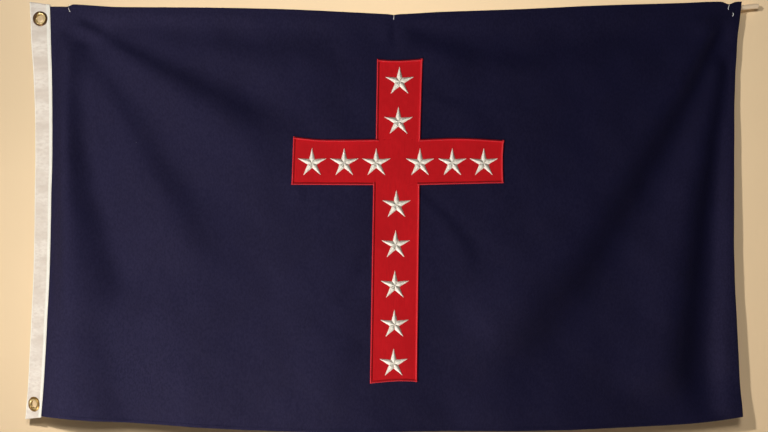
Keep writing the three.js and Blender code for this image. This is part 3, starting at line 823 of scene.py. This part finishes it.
def make_hem_stitches():
    x = np.arange(*HEM_SEAM_X, SEAM_STEP)
    z = np.arange(*HEM_SEAM_Z, -SEAM_STEP)
    rows = [
        np.stack([x, top_height(x) - HEM_SEAM * HEM["top"]], axis=1),
        np.stack([x, bottom_height(x) + HEM_SEAM * HEM["bottom"]], axis=1),
        np.stack([fly_edge(z) - HEM_SEAM * HEM["fly"], z], axis=1),
    ]
    parts = []
    for side, standing in SEAM_STANDING.items():
        for row in rows:
            x, z = np.moveaxis(stitch_places(row), -1, 0)
            parts.append(stitches(x, field_depth(x, z), z, side, standing))
    return make_piece("hem_stitches", joined(parts), navy_thread)


# ---- the cross

CROSS_BACK = -0.78
CROSS_FRONT = -1.45
# The cross in five patches: corners clockwise from the top left, and how many points across and down
CROSS_PATCHES = [
    (("top_left", "top_right", "upper_right", "upper_left"), 33, 56),
    (("upper_left", "upper_right", "lower_right", "lower_left"), 33, 33),
    (("upper_right", "right_top", "right_bottom", "lower_right"), 58, 33),
    (("left_top", "upper_left", "lower_left", "left_bottom"), 58, 33),
    (("lower_left", "lower_right", "foot_right", "foot_left"), 33, 138),
]
CROSS_UNEVEN = 0.12
CROSS_UNEVEN_LENGTHS = (19, 16, 13, 11)
# The ripples round each star: their height, how far out they lie and spread, and how many there are
PUCKER = 0.22
PUCKER_RADIUS = 25
PUCKER_WIDTH = 10
PUCKER_RIPPLES = 15


def star_pucker(x, z):
    """Ripples in the cloth round each star, from -1 to 1."""
    total = 0
    for k, (star_x, star_z) in enumerate(STARS):
        radius = np.hypot(x - star_x, z - star_z)
        angle = np.arctan2(z - star_z, x - star_x)
        fade = np.exp(-((radius - PUCKER_RADIUS) / PUCKER_WIDTH) ** 2)
        total = total + fade * np.sin(PUCKER_RIPPLES * angle + 2 * k + 2 * np.sin(4 * angle + k))
    return total


def cross_front(x, z):
    """Y of the cross's face."""
    uneven = CROSS_UNEVEN * waves(x, z, 7, CROSS_UNEVEN_LENGTHS)
    return field_depth(x, z) + CROSS_FRONT + PUCKER * star_pucker(x, z) + uneven


def edge_frame(start, end):
    """An edge's two ends, its length, and the direction inward from it."""
    a, b = (np.array(CROSS_CORNERS[corner], float) for corner in (start, end))
    run = unit(b - a)
    return a, b, np.linalg.norm(b - a), np.array([run[1], -run[0]])


def edge_places(start, end, share):
    """Places along an edge of the cross, or of one of its patches, between two corners."""
    a, b, _, inward = edge_frame(start, end)
    bow, peak = CROSS_BOWS.get(start, STRAIGHT) if NEXT_CORNER[start] == end else STRAIGHT
    bows = along(table("share bow", (0, 0), (peak, bow), (1, 0)), "share", "bow", share)
    return mix(a, b, share[..., None]) + inward * bows[..., None]


def make_cross():
    places, faces, start = [], [], 0
    for (a, b, c, d), columns, rows in CROSS_PATCHES:
        u, v = np.linspace(0, 1, columns), np.linspace(0, 1, rows)
        top, bottom = edge_places(a, b, u)[None], edge_places(c, d, 1 - u)[None]
        left, right = edge_places(d, a, 1 - v)[:, None], edge_places(b, c, v)[:, None]
        u, v = u[None, :, None], v[:, None, None]
        top_corners = top[:, :1] * (1 - u) + top[:, -1:] * u
        bottom_corners = bottom[:, :1] * (1 - u) + bottom[:, -1:] * u
        corners = top_corners * (1 - v) + bottom_corners * v
        patch = top * (1 - v) + bottom * v + left * (1 - u) + right * u - corners
        places.append(patch.reshape(-1, 2))
        faces.append(grid_faces(rows, columns) + start)
        start += rows * columns
    places, faces = np.concatenate(places), np.concatenate(faces)
    _, first, same = np.unique(places.round(3), axis=0, return_index=True, return_inverse=True)
    x, z = places[first].T
    faces = same.reshape(-1)[faces]
    front = np.stack([x, cross_front(x, z), z], axis=1)
    back = np.stack([x, field_depth(x, z) + CROSS_BACK, z], axis=1)
    return make_piece("red_cross", thickened(front, back, faces), red, "cross")


# ---- satin stitching


def satin(starts, ends, heights, base, thickness, stations, fullness, side=-1, crest=0.5):
    """Threads laid side by side, each arched from its start to its end and highest at the crest's share.

    Fullness 1 makes a ridge, 2 an arch.
    """
    t = np.linspace(0, 1, stations)
    places = mix(starts[:, None], ends[:, None], t[None, :, None])
    crest = np.reshape(crest, (-1, 1))
    arch = 1 - np.where(t < crest, (crest - t) / crest, (t - crest) / (1 - crest)) ** fullness
    x, z = places[..., 0], places[..., 1]
    y = field_depth(x, z) + base + side * np.asarray(heights)[:, None] * arch
    return strands(np.stack([x, y, z], axis=-1), *thickness, (0, side, 0))


BORDER_OUT = 0.5
BORDER_IN = 5.2
BORDER_PITCH = 0.6
BORDER_THREAD = (0.72, 0.34)
BORDER_BASE = -1.1
BORDER_HEIGHT = 3.3
BORDER_FULLNESS = 1.2
# Where the stitches are highest, as a share of their length from the outer end, on edges that face each way
BORDER_CRESTS = {"left": 0.24, "right": 0.3, "top": 0.58, "bottom": 0.14}
BORDER_OVERLAP = 0.3
# How unevenly the stitches lie along the edge, and across it at their ends
BORDER_JITTER = (0.05, 0.1)
# The threads behind the cloth are wider and lie wider apart
BACK_PITCH = {"border": 1.1, "star": 0.95}
BACK_THREAD = {"border": (1.0, 0.35), "star": (0.95, 0.35)}
BACK_BASE = 0.4
BACK_HEIGHT = 0.3
BACK_WIDTH_SHARE = 0.8


def side_faced(outward):
    """The side that an edge of the cross faces."""
    x, z = outward
    if abs(x) > abs(z):
        return "right" if x > 0 else "left"
    return "top" if z > 0 else "bottom"


def border_threads(pitch, width_share, seed):
    """Starts and ends of the stitches over the cross's edge, how much each is raised, and its crest."""
    random = np.random.default_rng(seed)
    starts, ends, raised, crests = [], [], [], []
    for name, following in NEXT_CORNER.items():
        a, b, length, inward = edge_frame(name, following)
        past = BORDER_IN if following in INNER_CORNERS else BORDER_OUT
        at = np.arange(0, length + past, pitch)
        middle = edge_places(name, following, np.minimum(at / length, 1))
        shift = np.maximum(at - length, 0) + random.normal(0, BORDER_JITTER[0], len(at))
        middle = middle + unit(b - a) * shift[:, None]
        jitter = random.normal(0, BORDER_JITTER[1], (2, len(at), 1))
        starts.append(middle - inward * (BORDER_OUT * width_share + jitter[0]))
        ends.append(middle + inward * (BORDER_IN * width_share + jitter[1]))
        raised.append(np.where((at < BORDER_IN) & (name not in INNER_CORNERS), BORDER_OVERLAP, 0))
        crests.append(np.full(len(at), BORDER_CRESTS[side_faced(-inward)]))
    return [np.concatenate(each) for each in (starts, ends, raised, crests)]


def make_border():
    starts, ends, raised, crests = border_threads(BORDER_PITCH, 1, 11)
    heights = BORDER_HEIGHT + raised
    part = satin(starts, ends, heights, BORDER_BASE, BORDER_THREAD, 6, BORDER_FULLNESS, crest=crests)
    return make_piece("cross_border", part, red_satin)


def make_border_back():
    starts, ends, raised, _ = border_threads(BACK_PITCH["border"], BACK_WIDTH_SHARE, 12)
    part = satin(starts, ends, BACK_HEIGHT + raised / 2, BACK_BASE, BACK_THREAD["border"], 3, 2, 1)
    return make_piece("cross_border_back", part, red_satin)


STAR_PITCH = 0.47
STAR_THREAD = (0.58, 0.3)
STAR_BASE = -1.2
# How high the stitches stand at an arm's tip, and how much more where it is widest
STAR_HEIGHT = (0.6, 2.9)
STAR_FULLNESS = 1.2
# An arm's half-width at the star's middle and at its tip, and how far out its first stitch lies
ARM_HALF_WIDTHS = (0.4, 0.5)
ARM_FROM = 0.8
# How uneven the stitches are: across an arm, along it as a share of that, and in height
STAR_JITTER = {"across": 0.14, "along": 0.4, "height": 0.05}
# How the height follows an arm's width
STAR_BULGE = 0.75
# How much of its height a star's stitches have behind the cloth
STAR_BACK_SHARE = 0.2


def star_threads(star, pitch, seed):
    """Starts, ends and heights of a star's stitches, which cross each arm from edge to edge."""
    random = np.random.default_rng(seed)
    waist_along = STAR_RADIUS * STAR_WAIST * math.cos(math.pi / 5)
    waist_half = STAR_RADIUS * STAR_WAIST * math.sin(math.pi / 5)
    at = np.arange(ARM_FROM, STAR_RADIUS, pitch)
    middle_half, tip_half = ARM_HALF_WIDTHS
    half = np.interp(at, [0, waist_along, STAR_RADIUS], [middle_half, waist_half, tip_half])
    starts, ends, heights = [], [], []
    for k in range(5):
        angle = math.pi / 2 - 2 * math.pi * k / 5
        axis = np.array([math.cos(angle), math.sin(angle)])
        across = np.array([-axis[1], axis[0]])
        jitter = random.normal(0, STAR_JITTER["across"], (3, len(at), 1))
        middle = np.array(star) + axis * (at[:, None] + jitter[2] * STAR_JITTER["along"])
        starts.append(middle + across * (half[:, None] + jitter[0]))
        ends.append(middle - across * (half[:, None] + jitter[1]))
        uneven = random.normal(0, STAR_JITTER["height"], len(at))
        heights.append(STAR_HEIGHT[0] + STAR_HEIGHT[1] * (half / waist_half) ** STAR_BULGE + uneven)
    return np.concatenate(starts), np.concatenate(ends), np.concatenate(heights)


def make_stars():
    backs = []
    for k, star in enumerate(STARS):
        number = f"{k + 1:02d}"
        starts, ends, heights = star_threads(star, STAR_PITCH, 20 + k)
        part = satin(starts, ends, heights, STAR_BASE, STAR_THREAD, 7, STAR_FULLNESS)
        make_piece(f"satin_star_{number}", part, white_satin, f"star_{number}")
        starts, ends, heights = star_threads(star, BACK_PITCH["star"], 40 + k)
        backs.append(satin(starts, ends, heights * STAR_BACK_SHARE, BACK_BASE, BACK_THREAD["star"], 3, 2, 1))
    return make_piece("star_backs", joined(backs), white_satin)


# ---- the heading

HEADING_STEP = 3
# The tape's section: inward from the seam, and how far its face stands from the middle surface
TAPE_FACE = table(
    "inward standing",
    (0, 1.5), (0.4, 1.8), (1, 1.85), (1.5, 1.62), (2, 1.85), (3.5, 1.95), (5.5, 1.95), (7, 1.85), (7.5, 1.62),
    (8, 1.8), (8.4, 1.35), (9.4, 1.25), *((inward, 1.3) for inward in range(12, 37, 3)),
    (39, 1.32), (41, 1.35), (42.3, 1.15), (43, 0.75), (43.3, 0.3),
)
# The slot that the field's edge lies in
TAPE_SLOT = table(
    "inward offset",
    (0, 0.8), (4, 0.75), (8, 0.7), (9.8, 0.5), (9.8, -0.5), (8, -0.7), (4, -0.75), (0, -0.8),
)
# The pucker's height, where it starts and ends across the tape, and its wave lengths
TAPE_PUCKER = 0.5
PUCKER_FROM = (8.6, 14)
PUCKER_TO = (37, 43)
PUCKER_WAVES = (8, 10, 13, 17, 23)
PUCKER_STRETCH = 0.3
# The section's columns that get the paler seam tape's material: the seam's tape before the first of these,
# and a paler strip along the free edge from the second on
SEAM_TAPE_COLUMNS = 9
PALE_EDGE_COLUMN = 22
TAPE_SEAMS = (1.5, 7.5)
TAPE_SEAM_STANDING = 1.85
GROMMET_HEIGHTS = {"grommet_top": -27, "grommet_bottom": -852.5}


def tape_pucker(z, inward, seed):
    window = ramp(*PUCKER_FROM, inward) * (1 - ramp(*PUCKER_TO, inward))
    return TAPE_PUCKER * window * waves(inward * PUCKER_STRETCH, z, seed, PUCKER_WAVES)


def tape_ring(z):
    inward, standing = TAPE_FACE["inward"], TAPE_FACE["standing"]
    front = -standing - tape_pucker(z, inward, 31)
    back = standing + tape_pucker(z, inward, 32)
    every = np.concatenate([inward, inward[::-1], TAPE_SLOT["inward"]])
    offset = np.concatenate([front, back[::-1], TAPE_SLOT["offset"]])
    points = heading_point(z, every)
    points[:, 1] += offset
    return points


def make_heading():
    heights = np.linspace(HEADING_TOP, HEADING_BOTTOM, round((HEADING_TOP - HEADING_BOTTOM) / HEADING_STEP))
    rings = np.stack([tape_ring(z) for z in heights])
    heading = make_piece("canvas_heading", ring_part(rings, -1), canvas, "heading")
    heading.data.materials.append(seam_tape)
    column = np.arange(len(heading.data.polygons)) % rings.shape[1]
    column = np.minimum(column, 2 * len(TAPE_FACE["inward"]) - 2 - column)
    on_tape = (column >= 0) & ((column < SEAM_TAPE_COLUMNS) | (column >= PALE_EDGE_COLUMN))
    heading.data.polygons.foreach_set("material_index", on_tape.astype(np.int32))
    for height in GROMMET_HEIGHTS.values():
        centre, facing = grommet_seat(height)
        reach = facing * GROMMET_RADIUS
        cut(heading, tube(np.stack([centre - reach, centre + reach]), CANVAS_HOLE, CANVAS_HOLE_SIDES))
    return heading


def make_tape_stitches():
    heights = np.arange(HEADING_TOP - 2, HEADING_BOTTOM + 2, -SEAM_STEP)
    parts = []
    for inset in TAPE_SEAMS:
        row = np.stack([heading_point(z, inset) for z in heights])
        x, y, z = np.moveaxis(stitch_places(row), -1, 0)
        parts += [stitches(x, y, z, side, TAPE_SEAM_STANDING) for side in (-1, 1)]
    return make_piece("tape_stitches", joined(parts), tape_thread)


# ---- grommets

GROMMET_RADIUS = 16
CANVAS_HOLE = 9.25
CANVAS_HOLE_SIDES = 40
# Half of a grommet's section: out from its axis, and up from the middle of the canvas
GROMMET_SECTION = table(
    "out up",
    (8.2, 0), (8.2, 1.9), (8.4, 2.6), (8.9, 3.2), (9.7, 3.65), (10.6, 3.95), (11.4, 4.05), (12.2, 3.95),
    (13.2, 3.6), (14.1, 3.1), (14.9, 2.6), (15.5, 2.15), (15.9, 1.8), (16, 1.6), (15.9, 1.4), (15.5, 1.3),
    (13, 1.28), (9.2, 1.28),
)
RIM_FROM = 11.8
# Where the rim's dark colour, tarnish with a painted dark reflection, reaches inward over the lip in a
# crescent: the side it lies on, as an angle from the left, and how far
PAINTED_REFLECTION_CRESCENTS = {"grommet_top": (0.35, 3.6), "grommet_bottom": (-0.75, 3.6)}
GROMMET_SIDES = 72
GROMMET_STATIONS = 44


def grommet_seat(height):
    """The middle of a grommet and the direction of its axis."""
    middle = HEADING_WIDTH / 2
    across = heading_point(height, HEADING_WIDTH) - heading_point(height, 0)
    down = heading_point(height - middle, middle) - heading_point(height + middle, middle)
    return heading_point(height, middle), unit(np.cross(down, across))


def make_grommet(node, height):
    centre, facing = grommet_seat(height)
    half = smooth_route(np.stack([GROMMET_SECTION["out"], GROMMET_SECTION["up"]], axis=1), GROMMET_STATIONS)
    section = np.concatenate([half, half[:0:-1] * (1, -1)])
    turns = np.linspace(0, 2 * math.pi, GROMMET_SIDES, endpoint=False)
    upward = square_to(np.array([0, 0, 1.0]), facing)
    sideways = np.cross(upward, facing)
    spokes = np.cos(turns)[:, None] * sideways + np.sin(turns)[:, None] * upward
    points = centre + section[:, None, :1] * spokes[None] - section[:, None, 1:] * facing
    rows, columns, _ = points.shape
    points = np.concatenate([points, points[:1]])
    faces = grid_faces(rows + 1, columns, wrap=True) % (rows * columns)
    part = points[:-1].reshape(-1, 3), [faces[:, ::-1]]
    made = make_piece(f"brass_{node}", part, brass_metal, node)
    made.data.materials.append(rim_tarnish_painted_reflection[node])
    # Painted dark reflection: the rim's dark material reaches inward on one side
    side, reach = PAINTED_REFLECTION_CRESCENTS[node]
    inner = RIM_FROM - reach * np.maximum(0, np.cos(turns - side)) ** 2
    on_rim = (section[:, :1] > inner).ravel()[faces].all(axis=1)
    made.data.polygons.foreach_set("material_index", on_rim.astype(np.int32))
    return made


# ---- rod and pins

ROD_DIAMETER = 11
ROD_LEFT = -747.5
ROD_RIGHT = 776.5
ROD_SAG = 24
# The rod's end springs up past the last pin: from this x to that one, by this much
ROD_KICK = (712, 776, 5.5)
ROD_STATIONS = 180
ROD_SIDES = 32
# How far in from an end the even stations start
ROD_EVEN_FROM = 4
# The rounding of the rod's ends: in from the end, and how much smaller the radius
ROD_END = table("inset thinner", (0, 1.0), (0.25, 0.45), (0.6, 0.15), (1.1, 0))


def rod_height(x):
    share = (x - ROD_LEFT) / (ROD_RIGHT - ROD_LEFT)
    start, end, rise = ROD_KICK
    return -ROD_SAG / 2 * (1 - np.cos(2 * math.pi * share)) + rise * ramp(start, end, x)


def make_rod():
    insets = ROD_END["inset"]
    x = np.concatenate([
        ROD_LEFT + insets,
        np.linspace(ROD_LEFT + ROD_EVEN_FROM, ROD_RIGHT - ROD_EVEN_FROM, ROD_STATIONS),
        ROD_RIGHT - insets[::-1],
    ])
    inset = np.minimum(x - ROD_LEFT, ROD_RIGHT - x)
    radius = ROD_DIAMETER / 2 - np.interp(inset, insets, ROD_END["thinner"])
    line = np.stack([x, np.zeros_like(x), rod_height(x)], axis=1)
    return make_piece("dowel", tube(line, radius, ROD_SIDES), dowel_wood, "rod")


# Pin wires: x to the right of the place, y in depth, z above the rod's axis
PIN_BACK = [(0, 4.5, -21), (0, 6.7, -12), (0, 7, -2), (0, 5.5, 4.1), (0, 0, 6.6), (0, -6, 7.1)]
PIN_INSIDE = [(0, -7, -12), (0, -3.5, -19)]
PIN_END = [(0, -0.5, -22.5)]
PIN_FRONTS = {
    "pin_left": [
        (0, -7.4, 4.5), (-0.6, -8.7, 0.6), (-0.2, -11.1, -2.6), (1.6, -11.2, -6.6), (2.4, -8.4, -10.2),
        PIN_INSIDE[1],
    ],
    "pin_centre": [(0, -10.4, 6.6), (0.2, -11.3, 4), (-0.3, -11.2, 0), (0, -7.4, -3.4), *PIN_INSIDE],
    "pin_right": [
        (0, -10.4, 6.2), (-1.2, -11.1, 2), (-2.2, -10.7, -2), (2.4, -7.5, -6), (7, -7.7, -9.4),
        (8.6, -10.9, -12.6), (8.6, -10.9, -16), (6.6, -7.4, -20), (3.4, -4.4, -22),
    ],
}
WIRE_RADIUS = 0.7
COIL = {"radius": 1.7, "turns": 2.5, "spread": 1.4, "behind": 8.7, "above": -3}
CLASP = {"width": 5.5, "height": 8, "thickness": 2.6, "behind": 2, "below": 23.5}
# The clasp's outline from its middle to its right, as shares of half its width and half its height
CLASP_OUTLINE = [
    (0, 1), (0.7, 0.97), (0.95, 0.8), (1, 0.45), (0.92, -0.1), (0.98, -0.5), (0.75, -0.85), (0, -1),
]
# How large the outline is at depths from the clasp's middle, as shares of half its width
CLASP_PUFF = [(0.97, 0.45), (1, 0.8), (0.9, 1)]
PIN_STATIONS = {"wire": 90, "coil": 60, "clasp": 20}
PIN_SIDES = {"wire": 14, "coil": 12}


def make_pin(node, place):
    axis = np.array([place, 0, rod_height(place)])
    route = smooth_route(PIN_BACK + PIN_FRONTS[node] + PIN_END, PIN_STATIONS["wire"])
    turns = np.linspace(0, 2 * math.pi * COIL["turns"], PIN_STATIONS["coil"])
    coil = np.stack([
        np.linspace(-1, 1, len(turns)) * COIL["spread"],
        COIL["behind"] - COIL["radius"] * np.cos(turns),
        COIL["above"] + COIL["radius"] * np.sin(turns),
    ], axis=1)
    right = smooth_route(CLASP_OUTLINE, PIN_STATIONS["clasp"])
    outline = np.concatenate([right, right[-2:0:-1] * (-1, 1)])
    outline = outline * (CLASP["thickness"] / 2, CLASP["height"] / 2)
    clasp = []
    for share, depth in [(share, -depth) for share, depth in CLASP_PUFF[::-1]] + CLASP_PUFF:
        across = np.full((len(outline), 1), depth * CLASP["width"] / 2)
        clasp.append(np.concatenate([across, outline * share], axis=1))
    clasp = np.stack(clasp) + (0, CLASP["behind"], -CLASP["below"])
    part = joined([
        tube(route + axis, WIRE_RADIUS, PIN_SIDES["wire"]),
        tube(coil + axis, WIRE_RADIUS, PIN_SIDES["coil"]),
        ring_part(clasp + axis, 1),
    ])
    return make_piece(f"steel_{node}", part, pin_steel, node)


# ---- the pieces

field = make_field()
hem_stitches = make_hem_stitches()
cross = make_cross()
border = make_border()
make_border_back()
make_stars()
heading = make_heading()
tape_stitches = make_tape_stitches()
for node, height in GROMMET_HEIGHTS.items():
    make_grommet(node, height)
make_rod()
for node, place in zip(PIN_FRONTS, PIN_PLACES):
    make_pin(node, place)


# ---- stage, camera and lamps

WALL_DEPTH = 12.2
WALL_LEAN = 0.03
WALL_REACH = 4000
WALL_HEIGHT = 2600
FLOOR_REACH = 6000
STAGE = ("wall", "floor")
SQUARE = ((-1, -1), (1, -1), (1, 1), (-1, 1))


def make_stage(name, corners, material):
    part = np.array(corners, float), [np.arange(len(corners))[None]]
    placed(name, mesh_of(name, part, material))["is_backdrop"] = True


make_stage("wall", [
    (side * WALL_REACH, WALL_DEPTH - WALL_LEAN * up * WALL_HEIGHT, up * WALL_HEIGHT) for side, up in SQUARE
], plaster())
make_stage("floor", [(x * FLOOR_REACH, y * FLOOR_REACH, -WALL_HEIGHT) for x, y in SQUARE], floor_paint())

# The view takes in 1.651 m of the flag's plane from side to side
CAMERA_LENS = 34.9
CAMERA_PLACE = (-0.0316, -1.609, -0.4478)

lens = bpy.data.cameras.new("camera")
lens.sensor_width = 36
lens.lens = CAMERA_LENS
camera = placed("camera", lens)
camera.location = CAMERA_PLACE
camera.rotation_euler = (math.pi / 2, 0, 0)
bpy.context.scene.camera = camera

WARM = (1, 0.97, 0.92)
# name, place, aim, size in metres, power in watts, colour, what it lights, whether it glints
LAMPS = [
    ("upper_left", (-0.65, -1.33, 0.2), (0, 0, -0.45), 0.09, 27, WARM, "wall", False),
    ("overhead", (0, -2, 0.45), (0, 0, -0.4), 0.5, 19, WARM, "wall", False),
    ("front_high", (0.1, -3, 1), (0, 0, -0.4), 0.5, 18.5, WARM, "cloth", False),
    ("front", (0.1, -3, -0.4), (0, 0, -0.4), 0.8, 23.5, WARM, "cloth", False),
    ("lower_left", (-1.25, -1.3, -2.1), (-0.2, 0, -0.5), 0.5, 22, WARM, "flag", True),
    ("left", (-1.7, -1.9, -0.2), (0, 0, -0.5), 0.6, 21, WARM, "flag", True),
    ("raking", (-1.7, -1.5, -2.3), (0, 0, -0.45), 0.4, 70, WARM, "stitched", True),
    ("rear", (0.8, 2.2, 0.6), (0, 0, -0.45), 1.2, 30, (1, 0.98, 0.95), "all", True),
]
# Narrow beams light the wall seen through the grommets
BEAM_POWERS = {"grommet_top": 150, "grommet_bottom": 105}
BEAM = {"spot_size": math.radians(0.8), "spot_blend": 0, "shadow_soft_size": 0.002}
BEAM_COLOUR = (1, 0.95, 0.82)
AMBIENT = (0.062, 0.061, 0.06)
PALE = (0.86, 0.84, 0.8)

# Of the lamps in front, those at the left alone light the stitching, which shows its relief
lit = {group: bpy.data.collections.new(group) for group in ("wall", "cloth", "flag", "stitched")}
for thing in list(bpy.context.scene.objects):
    if thing.type != "MESH":
        continue
    stitched = "satin" in thing.name or "border" in thing.name
    groups = ("flag", "stitched") if stitched else ("flag", "cloth")
    if thing.name in STAGE:
        groups = ("wall",)
    for group in groups:
        lit[group].objects.link(thing)


def make_lamp(name, kind, place, aim, power, colour, lights, **settings):
    light = bpy.data.lights.new(name, kind)
    for key, value in {"energy": power, "color": colour, **settings}.items():
        setattr(light, key, value)
    lamp = placed(name, light)
    lamp.location = place
    lamp.rotation_euler = (Vector(aim) - Vector(place)).to_track_quat("-Z", "Y").to_euler()
    if lights in lit:
        lamp.light_linking.receiver_collection = lit[lights]
    return lamp


for name, place, aim, size, power, colour, lights, glints in LAMPS:
    lamp = make_lamp(name, "AREA", place, aim, power, colour, lights, shape="DISK", size=size)
    lamp.visible_camera = False
    lamp.visible_glossy = glints
for node, height in GROMMET_HEIGHTS.items():
    aim = grommet_seat(height)[0] * MM
    make_lamp("through_" + node, "SPOT", CAMERA_PLACE, aim, BEAM_POWERS[node], BEAM_COLOUR, "wall", **BEAM)


def make_world():
    """Dim light all round. Cameras see a pale background, and metal sees it behind the flag."""
    world = bpy.data.worlds.new("room")
    bpy.context.scene.world = world
    world.use_nodes = True
    nodes = Nodes(world.node_tree)
    path = nodes.add("LightPath").outputs
    axes = nodes.add("SeparateXYZ", {0: nodes.add("TexCoord").outputs["Generated"]}).outputs
    back = nodes.math("GREATER_THAN", axes[1], 0.0)
    glossy = nodes.math("MULTIPLY", path["Is Glossy Ray"], back)
    seen = nodes.math("MAXIMUM", path["Is Camera Ray"], glossy)
    seen = nodes.math("MAXIMUM", seen, path["Is Transmission Ray"])
    nodes.feed(nodes.tree.nodes["Background"], {"Color": nodes.blend(seen, AMBIENT, PALE)})


make_world()
bpy.context.scene.view_settings.view_transform = "Standard"

size = {"cad": [list(cad_low), list(cad_high)], "visual": [list(corner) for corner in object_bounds()]}
